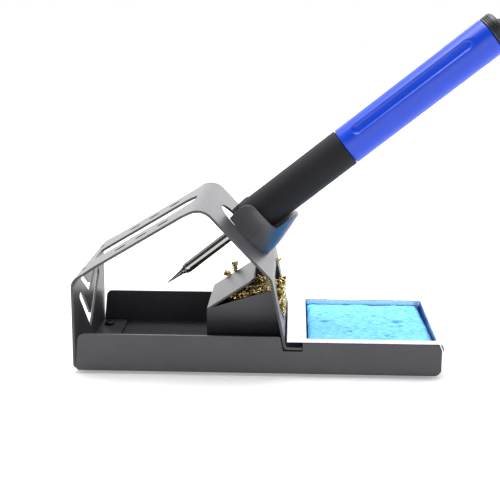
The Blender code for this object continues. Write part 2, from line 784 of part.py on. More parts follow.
def make_board(axis, laminate, metal):
    half = BOARD_THICKNESS / 2
    paint(box("handle_board", (-half, -BOARD_HALF_WIDTH, 107.0), (half, BOARD_HALF_WIDTH, 138.0),
              axis), laminate)
    place = Matrix.Translation(Vector((-half - GAP - SWITCH_RADIUS, 0, 0)) * MM)
    paint(rod("tilt_switch", SWITCH_RADIUS, 114.0, 122.0, axis, place), metal)


def make_handle_end(axis, plastic, rubber):
    plug = HANDLE_BORE - GAP
    inside = CAP_REAR - CAP_WALL
    hole = INLET_NECK + GAP
    cap = [
        (hole, CAP_REAR), (7.4, CAP_REAR), (8.9, CAP_REAR - 0.6), (GRIP_RADIUS, CAP_REAR - 2.0),
        (GRIP_RADIUS, HANDLE_REAR + GAP), (plug, HANDLE_REAR + GAP), (plug, CAP_FRONT),
        (5.8, CAP_FRONT), (5.8, inside), (hole, inside),
    ]
    paint(turned("end_cap", cap, axis, closed=True), plastic)
    inlet = [
        (INLET_BORE, INLET_REAR), (3.6, INLET_REAR), (4.4, CAP_REAR + GAP + 1.2),
        (4.7, CAP_REAR + GAP), (INLET_NECK, CAP_REAR + GAP), (INLET_NECK, inside - GAP),
        (INLET_FLANGE, inside - GAP), (INLET_FLANGE, inside - 2.0), (INLET_BORE, inside - 2.0),
    ]
    paint(turned("cable_inlet", inlet, axis, closed=True, steps=24), rubber)


def centre_on_floor(stand):
    """Move the whole object so that its box stands on z = 0, centred on the origin."""
    bpy.context.view_layer.update()
    graph = bpy.context.evaluated_depsgraph_get()
    corners = []
    for item in PARTS.objects:
        if item.type == "MESH":
            shape = item.evaluated_get(graph)
            corners += [shape.matrix_world @ vertex.co for vertex in shape.data.vertices]
    for axis in (0, 1):
        places = [corner[axis] for corner in corners]
        stand.location[axis] -= (min(places) + max(places)) / 2
    stand.location.z -= min(corner.z for corner in corners)
    bpy.context.view_layer.update()


def build():
    steel = make_material("painted_steel", (0.085, 0.083, 0.090), 0.42, 0.3)
    box_steel = make_material("box_steel", (0.085, 0.083, 0.090), 0.42, 0.3)
    tray_steel = make_material("polished_steel", (0.80, 0.80, 0.80), 0.18, 1.0)
    rubber = make_material("rubber", (0.03, 0.03, 0.03), 0.8)
    cup_plastic = make_material("cup_plastic", (0.09, 0.09, 0.10), 0.45)
    screw_metal = make_material("screw_metal", (0.55, 0.55, 0.56), 0.35, 1.0)
    wool_brass = make_material("wool_brass", (0.72, 0.50, 0.14), 0.3, 1.0)
    cellulose = make_material("cellulose", (0.17, 0.66, 0.94), 0.9)
    foam = make_material("foam", (0.028, 0.027, 0.033), 0.75)
    blue = make_material("blue_plastic", (0.02, 0.08, 0.68), 0.3)
    black = make_material("black_plastic", (0.03, 0.03, 0.035), 0.4)
    board = make_material("board", (0.03, 0.22, 0.10), 0.5)
    bronze = make_material("spring_bronze", (0.70, 0.45, 0.20), 0.3, 1.0)
    metals = {
        "tip": make_material("tip_plating", (0.62, 0.62, 0.64), 0.25, 1.0),
        "polished": make_material("tube_steel", (0.66, 0.65, 0.64), 0.15, 1.0),
        "ceramic": make_material("ceramic", (0.85, 0.83, 0.78), 0.5),
        "brass": make_material("contact_brass", (0.78, 0.58, 0.22), 0.3, 1.0),
    }

    stand = make_empty("stand", None)
    make_base_tray(stand, steel)
    make_foot_pads(stand, rubber)
    make_arch(stand, steel)
    make_arch_screws(stand, screw_metal)
    make_cup(stand, cup_plastic)
    make_cup_screws(stand, screw_metal)

    box_slide = make_empty("box_slide", stand)
    make_wool_box(box_slide, box_steel)
    make_wool(box_slide, wool_brass)

    tray_lift = make_empty("tray_lift", stand)
    make_sponge_tray(tray_lift, tray_steel)
    sponge_lift = make_empty("sponge_lift", tray_lift)
    make_sponge(sponge_lift, cellulose)

    x, z = PLATE_POINT
    iron_axis = make_empty("iron_axis", stand, (x, 0, z), (0, math.pi / 2 - IRON_ANGLE, 0))
    make_grip(iron_axis, foam, black)
    make_handle_shell(iron_axis, blue)
    make_contacts(iron_axis, black, bronze)
    make_board(iron_axis, board, screw_metal)
    make_handle_end(iron_axis, black, rubber)
    cartridge_axis = make_empty("cartridge_axis", iron_axis)
    make_cartridge(cartridge_axis, metals)

    centre_on_floor(stand)


clear_scene()
PARTS = make_collection("soldering_iron_station")
CUTTERS = make_collection("cutters")
build()
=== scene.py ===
"""Looks of the soldering iron station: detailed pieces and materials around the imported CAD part.

Sizes are in millimetres in the stand's own frame, as in the CAD: X to the right from the middle
of the base tray, Y away from the front, Z up from the underside of the base sheet. The stand's
place in the row frame comes from the CAD base tray.
"""
import json
import math
import random

import bmesh
import bpy
import numpy as np
from mathutils import Matrix, Vector, noise


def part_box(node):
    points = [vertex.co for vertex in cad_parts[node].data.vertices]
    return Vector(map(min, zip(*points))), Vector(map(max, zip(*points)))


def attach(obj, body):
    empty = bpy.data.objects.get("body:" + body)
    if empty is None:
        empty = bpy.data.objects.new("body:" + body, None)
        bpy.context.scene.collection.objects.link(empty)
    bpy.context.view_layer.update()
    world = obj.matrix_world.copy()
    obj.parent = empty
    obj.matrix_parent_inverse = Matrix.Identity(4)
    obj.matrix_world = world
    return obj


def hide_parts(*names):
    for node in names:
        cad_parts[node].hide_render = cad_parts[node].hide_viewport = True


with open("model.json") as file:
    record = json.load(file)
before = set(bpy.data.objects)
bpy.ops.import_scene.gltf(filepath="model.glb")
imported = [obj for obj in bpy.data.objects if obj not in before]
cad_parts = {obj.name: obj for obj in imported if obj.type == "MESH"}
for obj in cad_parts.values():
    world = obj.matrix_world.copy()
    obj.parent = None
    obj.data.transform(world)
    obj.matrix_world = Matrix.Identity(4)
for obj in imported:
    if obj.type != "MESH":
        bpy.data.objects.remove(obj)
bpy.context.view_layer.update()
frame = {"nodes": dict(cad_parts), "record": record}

MM = 0.001
WELD = 0.000005
ARC_STEP = math.radians(7)

# ---------------- the CAD's own frame

BASE_LEFT = -87.5
BASE_RIGHT = 87.4
base_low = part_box("base_tray")[0]
STAND = Matrix.Translation((base_low.x - BASE_LEFT * MM, 0, base_low.z))

SHEET = 1.2
HALF_DEPTH = 37.0
DEPTH = 2 * HALF_DEPTH
# Screws in pairs, at plus and minus Y. The cup's are given by their rise along the plate.
FOOT_SCREW_X, FOOT_SCREW_Y = -83.3, 25.8
CUP_SCREW_RISE, CUP_SCREW_Y = -14.0, 3.2

# Outlines are drawn flat as (x, y), then stood up: SIDE in the XZ plane and END in the YZ plane.
SIDE = Matrix.Rotation(math.pi / 2, 4, "X")
END = Matrix(((0, 0, 1, 0), (1, 0, 0, 0), (0, 1, 0, 0), (0, 0, 0, 1)))

# The arch's sloped plate, its long top run, and the iron's axis, all as (x, z) and an angle.
PLATE_POINT = (-9.3, 64.3)
PLATE_ANGLE = math.radians(43.1)
RUN_START = (-85.9, 46.8)
RUN_ANGLE = math.radians(30.75)
IRON_ANGLE = math.radians(38.3)


def at(x, y, z):
    return Matrix.Translation(Vector((x, y, z)) * MM)


def tilted(point, angle):
    """A frame at (x, z), turned about Y."""
    return at(point[0], 0, point[1]) @ Matrix.Rotation(angle, 4, "Y")


PLATE = tilted(PLATE_POINT, -PLATE_ANGLE)
RUN = tilted(RUN_START, -RUN_ANGLE)
IRON = tilted(PLATE_POINT, math.pi / 2 - IRON_ANGLE)


# ---------------- mesh tools

def new_mesh(name, body):
    mesh = bpy.data.meshes.new(name)
    body.to_mesh(mesh)
    body.free()
    return mesh


def edit_mesh(mesh, change=lambda body: None):
    """Apply a change in bmesh, then turn every face outward."""
    body = bmesh.new()
    body.from_mesh(mesh)
    change(body)
    bmesh.ops.recalc_face_normals(body, faces=body.faces)
    body.to_mesh(mesh)
    body.free()


def add_mesh(name, mesh, place=Matrix()):
    item = bpy.data.objects.new(name, mesh)
    bpy.context.scene.collection.objects.link(item)
    item.matrix_world = STAND @ place
    return item


def evaluated_mesh(item):
    bpy.context.view_layer.update()
    graph = bpy.context.evaluated_depsgraph_get()
    return bpy.data.meshes.new_from_object(item.evaluated_get(graph))


def apply_modifiers(item):
    mesh = evaluated_mesh(item)
    item.modifiers.clear()
    item.data = mesh
    return item


def combine(target, others, operation="DIFFERENCE"):
    """Boolean target with each of the others, which are then removed."""
    for other in others:
        boolean = target.modifiers.new("boolean", "BOOLEAN")
        boolean.operation = operation
        boolean.solver = "EXACT"
        boolean.object = other
    apply_modifiers(target)
    for other in others:
        bpy.data.objects.remove(other, do_unlink=True)
    return target


def soften(item, width=0.26, segments=2, angle=35):
    """Round the hard edges a little and shade the rest smooth."""
    bevel = item.modifiers.new("rounding", "BEVEL")
    bevel.width = width * MM
    bevel.segments = segments
    bevel.limit_method = "ANGLE"
    bevel.angle_limit = math.radians(angle)
    bevel.miter_outer = "MITER_ARC"
    bevel.use_clamp_overlap = True
    apply_modifiers(item)
    item.data.shade_smooth()
    weighted = item.modifiers.new("normals", "WEIGHTED_NORMAL")
    weighted.weight = 100
    apply_modifiers(item)
    return item


def smooth(item, angle=35):
    item.data.shade_smooth()
    item.data.set_sharp_from_angle(angle=math.radians(angle))
    return item


def rounded(corners, closed=True):
    """Corners as (x, y, radius); a corner with a radius becomes an arc."""
    points = []
    last = len(corners) - 1
    for index, (x, y, radius) in enumerate(corners):
        corner = Vector((x, y))
        if radius == 0 or (not closed and index in (0, last)):
            points.append(corner)
            continue
        back = (Vector(corners[index - 1][:2]) - corner).normalized()
        ahead = (Vector(corners[(index + 1) % len(corners)][:2]) - corner).normalized()
        half = back.angle(ahead) / 2
        centre = corner + (back + ahead).normalized() * (radius / math.sin(half))
        arm = corner + back * (radius / math.tan(half)) - centre
        turn = math.pi - 2 * half
        if back.cross(ahead) > 0:
            turn = -turn
        steps = max(3, round(abs(turn) / ARC_STEP))
        for step in range(steps + 1):
            points.append(centre + Matrix.Rotation(turn * step / steps, 2) @ arm)
    return points


def offset_right(corners, distance):
    """The same open line moved to its right, with its bends kept concentric."""
    moved = []
    last = len(corners) - 1
    for index, (x, y, radius) in enumerate(corners):
        corner = Vector((x, y))
        before = corner - Vector(corners[max(index - 1, 0)][:2])
        after = Vector(corners[min(index + 1, last)][:2]) - corner
        before = (before if index > 0 else after).normalized()
        after = (after if index < last else before).normalized()
        right_before = Vector((before.y, -before.x))
        right_after = Vector((after.y, -after.x))
        shift = (right_before + right_after) / (1 + right_before.dot(right_after))
        if radius:
            radius += distance if before.cross(after) > 0 else -distance
        moved.append((*(corner + shift * distance), radius))
    return moved


def weld(body):
    bmesh.ops.remove_doubles(body, verts=body.verts, dist=WELD)
    bmesh.ops.dissolve_limit(body, angle_limit=0.001, verts=body.verts, edges=body.edges)


def flat_solid(name, outlines, thickness, place=Matrix(), z=0.0):
    """Closed outlines of (x, y) points, filled and extruded evenly about local z."""
    curve = bpy.data.curves.new(name, "CURVE")
    curve.dimensions = "2D"
    curve.fill_mode = "BOTH"
    curve.extrude = thickness / 2 * MM
    for outline in outlines:
        spline = curve.splines.new("POLY")
        spline.points.add(len(outline) - 1)
        for point, (x, y) in zip(spline.points, outline):
            point.co = (x * MM, y * MM, 0, 1)
        spline.use_cyclic_u = True
    drawn = bpy.data.objects.new(name, curve)
    bpy.context.scene.collection.objects.link(drawn)
    mesh = evaluated_mesh(drawn)
    bpy.data.objects.remove(drawn, do_unlink=True)
    mesh.name = name
    edit_mesh(mesh, weld)
    return add_mesh(name, mesh, place @ at(0, 0, z))


def bent_sheet(name, line, sheet, width, place=SIDE):
    outer = rounded(line, closed=False)
    inner = rounded(offset_right(line, sheet), closed=False)
    return flat_solid(name, [outer + inner[::-1]], width, place)


def box(name, low, high, place=Matrix()):
    low = Vector(low) * MM
    high = Vector(high) * MM
    body = bmesh.new()
    bmesh.ops.create_cube(body, size=1.0)
    bmesh.ops.scale(body, vec=high - low, verts=body.verts)
    bmesh.ops.translate(body, vec=(low + high) / 2, verts=body.verts)
    return add_mesh(name, new_mesh(name, body), place)


def turned(name, profile, place=Matrix(), closed=False, steps=96):
    """A profile of (radius, height), run down its outer side, turned about local Z."""
    mesh = bpy.data.meshes.new(name)
    points = [(radius * MM, 0, height * MM) for radius, height in profile]
    edges = [(index, index + 1) for index in range(len(points) - 1)]
    if closed:
        edges.append((len(points) - 1, 0))
    mesh.from_pydata(points, edges, [])
    item = add_mesh(name, mesh, place)
    screw = item.modifiers.new("turn", "SCREW")
    screw.axis = "Z"
    screw.steps = steps
    screw.render_steps = steps
    screw.use_merge_vertices = True
    screw.merge_threshold = WELD
    apply_modifiers(item)
    edit_mesh(item.data)
    return item


def rod(name, radius, low, high, place=Matrix(), steps=48):
    return turned(name, [(0, high), (radius, high), (radius, low), (0, low)], place,
                  steps=steps)


def skin(name, rings, place=Matrix(), closed_rings=True, caps=False):
    """A surface through matching rings of points; caps close its two ends."""
    body = bmesh.new()
    made = [[body.verts.new(Vector(point) * MM) for point in ring] for ring in rings]
    for near, far in zip(made, made[1:]):
        count = len(near)
        for index in range(count if closed_rings else count - 1):
            after = (index + 1) % count
            body.faces.new((near[index], near[after], far[after], far[index]))
    if caps:
        body.faces.new(made[0][::-1])
        body.faces.new(made[-1])
    bmesh.ops.recalc_face_normals(body, faces=body.faces)
    return add_mesh(name, new_mesh(name, body), place)


def join_objects(name, items):
    """One object out of several, in the first one's place."""
    first = items[0]
    body = bmesh.new()
    inverse = first.matrix_world.inverted()
    for item in items:
        mesh = item.data.copy()
        mesh.transform(inverse @ item.matrix_world)
        body.from_mesh(mesh)
    for item in items[1:]:
        bpy.data.objects.remove(item, do_unlink=True)
    first.data = new_mesh(name, body)
    first.name = name
    return first


# ---------------- materials

def map_range(tree, source, low, high, from_low, from_high):
    node = tree.nodes.new("ShaderNodeMapRange")
    for name, value in (("From Min", from_low), ("From Max", from_high),
                        ("To Min", low), ("To Max", high)):
        node.inputs[name].default_value = value
    tree.links.new(source, node.inputs["Value"])
    return node


def product(tree, first, second):
    node = tree.nodes.new("ShaderNodeMath")
    node.operation = "MULTIPLY"
    tree.links.new(first, node.inputs[0])
    tree.links.new(second, node.inputs[1])
    return node.outputs["Value"]


class Recipe:
    """A Principled material and short ways to feed it from procedural nodes."""

    def __init__(self, name):
        self.material = bpy.data.materials.new(name)
        self.material.use_nodes = True
        self.tree = self.material.node_tree
        self.nodes = self.tree.nodes
        self.links = self.tree.links
        self.shader = self.nodes["Principled BSDF"]
        coordinates = self.nodes.new("ShaderNodeTexCoord")
        self.place = coordinates.outputs["Object"]
        self.normal = coordinates.outputs["Normal"]

    def set(self, **values):
        for name, value in values.items():
            socket = self.shader.inputs[name.replace("_", " ")]
            if isinstance(value, tuple):
                value = (*value, 1.0)
            socket.default_value = value
        return self

    def texture(self, kind, place=None, **values):
        """Outputs of a node that is read at a place on the piece."""
        node = self.nodes.new(kind)
        for name, value in values.items():
            node.inputs[name].default_value = value
        self.links.new(place or self.place, node.inputs["Vector"])
        return node.outputs

    def stretch(self, scale):
        return self.texture("ShaderNodeMapping", Scale=scale)["Vector"]

    def noise(self, scale, detail=4.0, roughness=0.55, place=None):
        return self.texture("ShaderNodeTexNoise", place, Scale=scale, Detail=detail,
                            Roughness=roughness)["Fac"]

    def cells(self, scale, place=None):
        return self.texture("ShaderNodeTexVoronoi", place, Scale=scale)["Distance"]

    def span(self, source, low, high, from_low=0.3, from_high=0.7):
        return map_range(self.tree, source, low, high, from_low, from_high).outputs["Result"]

    def ramp(self, source, stops):
        node = self.nodes.new("ShaderNodeValToRGB")
        elements = node.color_ramp.elements
        while len(elements) < len(stops):
            elements.new(0.5)
        for element, (position, colour) in zip(elements, stops):
            element.position = position
            element.color = (*colour, 1.0)
        self.links.new(source, node.inputs["Fac"])
        return node.outputs["Color"]

    def bump(self, source, depth, strength=1.0, below=None):
        node = self.nodes.new("ShaderNodeBump")
        node.inputs["Strength"].default_value = strength
        node.inputs["Distance"].default_value = depth * MM
        self.links.new(source, node.inputs["Height"])
        if below is not None:
            self.links.new(below, node.inputs["Normal"])
        return node.outputs["Normal"]

    def vector(self, operation, first, second=(0, 0, 0)):
        """A vector operation on a socket and on another socket or a fixed vector."""
        node = self.nodes.new("ShaderNodeVectorMath")
        node.operation = operation
        self.links.new(first, node.inputs[0])
        if isinstance(second, tuple):
            node.inputs[1].default_value = second
        else:
            self.links.new(second, node.inputs[1])
        return node.outputs["Vector" if operation == "MULTIPLY" else "Value"]

    def feed(self, **sources):
        for name, source in sources.items():
            self.links.new(source, self.shader.inputs[name.replace("_", " ")])
        return self.material


def scaled(colour, factor):
    return tuple(min(c * factor, 1) for c in colour)


def powder_coat(name, colour, roughness):
    recipe = Recipe(name).set(IOR=1.5)
    grain = recipe.noise(1500, 3.0)
    cloud = recipe.noise(60, 4.0)
    tint = recipe.ramp(cloud, [(0.35, scaled(colour, 0.93)), (0.65, scaled(colour, 1.07))])
    rough = recipe.span(grain, roughness - 0.04, roughness + 0.06)
    orange_peel = recipe.bump(recipe.noise(420, 2.0), 0.012)
    return recipe.feed(Base_Color=tint, Roughness=rough,
                       Normal=recipe.bump(grain, 0.010, below=orange_peel))


def polished_metal(name, colour, roughness, grain_scale=(2500, 60, 60), depth=0.002):
    recipe = Recipe(name).set(Metallic=1.0)
    lines = recipe.noise(1.0, 3.0, place=recipe.stretch(grain_scale))
    cloud = recipe.noise(90, 3.0)
    tint = recipe.ramp(cloud, [(0.3, scaled(colour, 0.93)), (0.7, colour)])
    return recipe.feed(Base_Color=tint, Roughness=recipe.span(lines, roughness * 0.8,
                                                              roughness * 1.3),
                       Normal=recipe.bump(lines, depth))


def moulded_plastic(name, colour, roughness, grain=900, depth=0.006):
    recipe = Recipe(name).set(IOR=1.5)
    fine = recipe.noise(grain, 3.0)
    cloud = recipe.noise(70, 3.0)
    tint = recipe.ramp(cloud, [(0.3, scaled(colour, 0.92)), (0.7, colour)])
    return recipe.feed(Base_Color=tint, Roughness=recipe.span(fine, roughness - 0.05,
                                                              roughness + 0.08),
                       Normal=recipe.bump(fine, depth))


def plastic_with_painted_reflection(name, colour, tint, direction, start, end, roughness):
    """Moulded plastic that takes on a painted blue reflection, a tint along a direction, on its
    outer faces only.
    """
    recipe = Recipe(name).set(IOR=1.5, Coat_Weight=0.15, Coat_Roughness=0.2)
    fine = recipe.noise(420, 4.0)
    along = recipe.vector("DOT_PRODUCT", recipe.place, direction)
    # Inner faces look towards the piece's local X axis, and outer faces away from it.
    from_axis = recipe.vector("MULTIPLY", recipe.place, (0, 1, 1))
    outward = recipe.vector("DOT_PRODUCT", from_axis, recipe.normal)
    # How much painted reflection: it grows along the direction, on outer faces only.
    reflection_amount = product(recipe.tree, recipe.span(along, 0, 1, start * MM, end * MM),
                     recipe.span(outward, 0, 1, -MM, MM))
    shade = recipe.ramp(reflection_amount, [(0.0, colour), (1.0, tint)])
    return recipe.feed(Base_Color=shade, Roughness=recipe.span(fine, roughness - 0.05,
                                                               roughness + 0.08),
                       Normal=recipe.bump(fine, 0.04))


def foam_rubber(name, colour):
    recipe = Recipe(name).set(IOR=1.45, Sheen_Weight=0.06, Sheen_Roughness=0.5,
                              Specular_IOR_Level=0.35)
    cells = recipe.cells(1900)
    speckle = recipe.noise(1500, 3.0)
    tint = recipe.ramp(speckle, [(0.35, scaled(colour, 0.6)), (0.7, scaled(colour, 1.5))])
    coarse = recipe.bump(recipe.noise(650, 3.0), 0.07)
    return recipe.feed(Base_Color=tint, Roughness=recipe.span(speckle, 0.6, 0.85),
                       Normal=recipe.bump(cells, 0.05, below=coarse))


# Painted shade on the sponge: darkest below the first of these heights and lightest above the
# second.
PAINTED_SHADE_RISE = (12.4, 14.1)
PAINTED_SHADE_BLUE = (0.015, 0.22, 0.66)


def cellulose(name):
    recipe = Recipe(name).set(IOR=1.38, Subsurface_Weight=0.15, Subsurface_Scale=0.001)
    pores = recipe.cells(380, recipe.stretch((0.8, 1.0, 1.0)))
    fibre = recipe.noise(1300, 4.0, 0.65)
    speckle = recipe.noise(620, 4.0, 0.7, recipe.stretch((0.45, 1.0, 1.0)))
    tint = recipe.ramp(speckle, [(0.32, (0.07, 0.46, 0.90)), (0.43, (0.15, 0.62, 0.95)),
                                 (0.54, (0.22, 0.71, 0.97)), (0.70, (0.42, 0.84, 1.0))])
    # Pits and edges get painted shade, a deeper blue than the top.
    height = recipe.nodes.new("ShaderNodeSeparateXYZ")
    recipe.links.new(recipe.place, height.inputs[0])
    shade = recipe.nodes.new("ShaderNodeMixRGB")
    shade.inputs["Color1"].default_value = (*PAINTED_SHADE_BLUE, 1.0)
    shaded_height, lit_height = PAINTED_SHADE_RISE
    recipe.links.new(recipe.span(height.outputs["Z"], 0, 1, shaded_height * MM, lit_height * MM),
                     shade.inputs["Fac"])
    recipe.links.new(tint, shade.inputs["Color2"])
    rough = recipe.bump(fibre, 0.15)
    return recipe.feed(Base_Color=shade.outputs["Color"],
                       Roughness=recipe.span(fibre, 0.55, 0.9),
                       Normal=recipe.bump(pores, 0.25, 0.8, below=rough))


def wool_metal(name):
    recipe = Recipe(name).set(Metallic=1.0)
    # The near-black and near-white stops are painted shade between the curls and painted
    # highlights on them, scattered by noise.
    cloud = recipe.noise(800, 2.0)
    tint = recipe.ramp(cloud, [(0.36, (0.06, 0.030, 0.004)), (0.43, (0.60, 0.37, 0.07)),
                               (0.49, (1.0, 0.76, 0.26)), (0.57, (1.0, 0.95, 0.66))])
    lines = recipe.noise(2400, 2.0)
    return recipe.feed(Base_Color=tint, Roughness=recipe.span(lines, 0.09, 0.20),
                       Normal=recipe.bump(lines, 0.004))


MATERIALS = {
    "painted_steel": powder_coat("station_paint", (0.052, 0.050, 0.059), 0.36),
    "box_steel": powder_coat("box_paint", (0.054, 0.052, 0.061), 0.38),
    # The tray's steel has a blue cast: a painted reflection of the sponge.
    "polished_steel": polished_metal("tray_steel_blue_reflection", (0.68, 0.69, 0.86), 0.27),
    "rubber": foam_rubber("pad_rubber", (0.03, 0.03, 0.03)),
    # The cup's outer underside gets a painted blue reflection.
    "cup_plastic": plastic_with_painted_reflection("cup_plastic", (0.096, 0.095, 0.104), (0.018, 0.058, 0.165),
                                  (0.53, 0, -1), 14.5, 19.5, 0.34),
    "screw_metal": polished_metal("screw_metal", (0.045, 0.044, 0.050), 0.6),
    "wool_brass": wool_metal("wool_brass"),
    "cellulose": cellulose("sponge_cellulose"),
    "foam": foam_rubber("grip_foam", (0.010, 0.0095, 0.013)),
    "blue_plastic": moulded_plastic("handle_blue", (0.002, 0.055, 0.62), 0.32, 2500, 0.002),
    "black_plastic": moulded_plastic("black_plastic", (0.022, 0.022, 0.026), 0.38),
    "board": moulded_plastic("board_laminate", (0.02, 0.20, 0.08), 0.35),
    "spring_bronze": polished_metal("spring_bronze", (0.72, 0.46, 0.22), 0.25),
    "tip_plating": polished_metal("tip_plating", (0.24, 0.24, 0.25), 0.20),
    "tube_steel": polished_metal("tube_steel", (0.40, 0.39, 0.36), 0.05, (60, 60, 2500)),
    "ceramic": moulded_plastic("ceramic", (0.82, 0.80, 0.74), 0.35),
    "contact_brass": polished_metal("contact_brass", (0.80, 0.60, 0.24), 0.2),
}


def dress(item, slot, body, *nodes):
    """Paint a piece, let it ride on its body and stand for its CAD nodes."""
    item.data.materials.clear()
    item.data.materials.append(MATERIALS[slot])
    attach(item, body)
    if nodes:
        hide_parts(*nodes)
    return item


def turned_piece(name, profile, angle, slot, body, node, place=IRON, **options):
    """A turned piece, shaded smooth up to an angle, that stands for one CAD node."""
    dress(smooth(turned(name, profile, place, **options), angle), slot, body, node)


# ---------------- base tray

FLANGE_TOP = 18.9
FLANGE_TOP_RIGHT = 16.1
CHAMFER = 2.6
NOTCH_LEFT = 12.2
NOTCH_RIGHT = 21.6
NOTCH_LOW = 11.8
SCREW_HOLE = 1.7


def make_base_tray():
    channel = [(HALF_DEPTH, FLANGE_TOP, 0), (HALF_DEPTH, 0, 1.6), (-HALF_DEPTH, 0, 1.6),
               (-HALF_DEPTH, FLANGE_TOP, 0)]
    tray = bent_sheet("tray_body", channel, SHEET, 2 * BASE_RIGHT + 2, END)
    side_view = [
        (BASE_LEFT + 1.2, 0, 0.6), (BASE_RIGHT - CHAMFER, 0, 1.5),
        (BASE_RIGHT, CHAMFER, 1.5), (BASE_RIGHT, FLANGE_TOP_RIGHT, 3.5),
        (NOTCH_RIGHT, FLANGE_TOP_RIGHT, 0.6), (NOTCH_RIGHT, NOTCH_LOW, 0.6),
        (NOTCH_LEFT, NOTCH_LOW, 0.6), (NOTCH_LEFT - 1.35, FLANGE_TOP, 0.6),
        (BASE_LEFT + 1.5, FLANGE_TOP, 3.0), (BASE_LEFT, 5.0, 0), (BASE_LEFT, 1.2, 0.5),
    ]
    view = rounded(side_view)
    combine(tray, [flat_solid("view", [view], DEPTH + 6, SIDE)], "INTERSECT")
    # The end wall is folded up between the flanges, with a narrow seam at each corner.
    wall = [(BASE_RIGHT - 8, 0.05, 0), (BASE_RIGHT - CHAMFER, 0.05, 1.5),
            (BASE_RIGHT - 0.05, CHAMFER, 1.5), (BASE_RIGHT - 0.05, FLANGE_TOP_RIGHT + 1, 0)]
    fold = bent_sheet("fold", wall, -SHEET + 0.1, 2 * (HALF_DEPTH - SHEET) - 1.2)
    combine(fold, [flat_solid("fold_view", [view], DEPTH, SIDE)], "INTERSECT")
    clearance = box("clearance", (BASE_RIGHT - 5.0, -HALF_DEPTH + SHEET + 0.1, -1),
                    (BASE_RIGHT + 2, HALF_DEPTH - SHEET - 0.1, FLANGE_TOP))
    combine(tray, [clearance])
    combine(tray, [fold], "UNION")
    holes = [rod("hole", SCREW_HOLE, -2, 4, at(FOOT_SCREW_X, side * FOOT_SCREW_Y, 0))
             for side in (-1, 1)]
    combine(tray, holes)
    soften(tray)
    return dress(tray, "painted_steel", "stand", "base_tray")


def make_foot_pads():
    for number, (x, y) in enumerate(((-70, -28), (-70, 28), (70, -28), (70, 28)), start=1):
        profile = [(0, -0.3), (4.6, -0.3), (4.95, -0.42), (5.0, -0.7), (4.7, -0.93),
                   (4.2, -1.0), (0, -1.0)]
        turned_piece(f"rubber_pad_{number}", profile, 50, "rubber", "stand",
                     f"foot_pad_{number}", at(x, y, 0))


# ---------------- arch

# The strip's outer line from the foot, up the left leg and down the plate to the tab.
ARCH_LINE = [
    (-74.5, 1.5, 0), (-89.0, 1.5, 2.0), (-88.4, 45.3, 6.0), (-26.2, 82.3, 9.0),
    (6.85, 47.1, 4.0), (13.75, 13.8, 1.0), (21.3, 13.8, 0),
]
# Small slots on both sides of the long one, as (place along the run, length).
SIDE_SLOTS = ((0.2, 4.4), (22, 6.5), (34, 6.5), (46.5, 6.5))
SIDE_SLOT_Y = 22.5
SIDE_SLOT_WIDTH = 4.0
PLATE_HOLE_RISE = 3.0
PLATE_HOLE_RADIUS = 11.5


def slot_outline(x, y, length, width):
    radius = width / 2 * 0.98
    return rounded([(x + across * length / 2, y + up * width / 2, radius)
                    for across, up in ((-1, -1), (1, -1), (1, 1), (-1, 1))])


def chevron_outline(low, high, end_low, end_high):
    return rounded([(0, low, 0.8), (*end_low, 1.9), (*end_high, 1.9), (0, high, 0.8),
                    (-end_high[0], end_high[1], 1.9), (-end_low[0], end_low[1], 1.9)])


def plate_normal(rise, y):
    return PLATE @ at(0, y, rise) @ Matrix.Rotation(math.pi / 2, 4, "Y")


def make_arch():
    arch = bent_sheet("arch_strip", ARCH_LINE, SHEET, DEPTH)
    outlines = [rounded([(4, -10, 2), (56, -10, 7), (63, -4.5, 4), (63, 4.5, 4),
                         (56, 10, 7), (4, 10, 2)])]
    waists = []
    for side in (-1, 1):
        for along, length in SIDE_SLOTS:
            outlines.append(slot_outline(along, side * SIDE_SLOT_Y, length,
                                         SIDE_SLOT_WIDTH))
        waists.append(rounded([(3, side * 37.5, 0), (9, side * 34, 5), (58, side * 34, 5),
                               (64, side * 37.5, 0), (64, side * 45, 0),
                               (3, side * 45, 0)]))
    # Two chevrons in the left leg and a window in the right one, as (y, z).
    chevrons = [chevron_outline(10.0, 17.3, (24.3, 33.3), (20.7, 37.2)),
                chevron_outline(28.7, 33.7, (20.7, 42.0), (18.4, 45.5))]
    window = rounded([(-17, 20, 3), (17, 20, 3), (25, 31, 4), (25, 36, 4),
                      (16, 42.5, 3), (-16, 42.5, 3), (-25, 36, 4), (-25, 31, 4)])
    cutters = [
        flat_solid("slots", outlines, 9, RUN),
        flat_solid("waists", waists, 12, RUN),
        flat_solid("chevrons", chevrons, 8, END, z=-88.0),
        flat_solid("window", [window], 20, END, z=9.0),
        rod("plate_hole", PLATE_HOLE_RADIUS, -5, 5, plate_normal(PLATE_HOLE_RISE, 0),
            steps=96),
    ]
    for side in (-1, 1):
        low, high = sorted((side * 35.3, side * 39))
        cutters.append(box("beside_foot", (-87.7, low, 0), (-70, high, 6)))
        cutters.append(rod("screw_hole", SCREW_HOLE, 0, 6,
                           at(FOOT_SCREW_X, side * FOOT_SCREW_Y, 0)))
        cutters.append(rod("cup_hole", 1.6, -4, 4,
                           plate_normal(CUP_SCREW_RISE, side * CUP_SCREW_Y)))
        # The foot's free corners are cut off.
        toe = ((-75.5, 35.4), (-74.4, 35.4), (-74.4, 32.5), (-75.0, 34.5))
        cutters.append(flat_solid("toe", [[(x, side * y) for x, y in toe]], 6, at(0, 0, 2)))
    combine(arch, cutters)
    soften(arch)
    return dress(arch, "painted_steel", "stand", "arch_bracket")


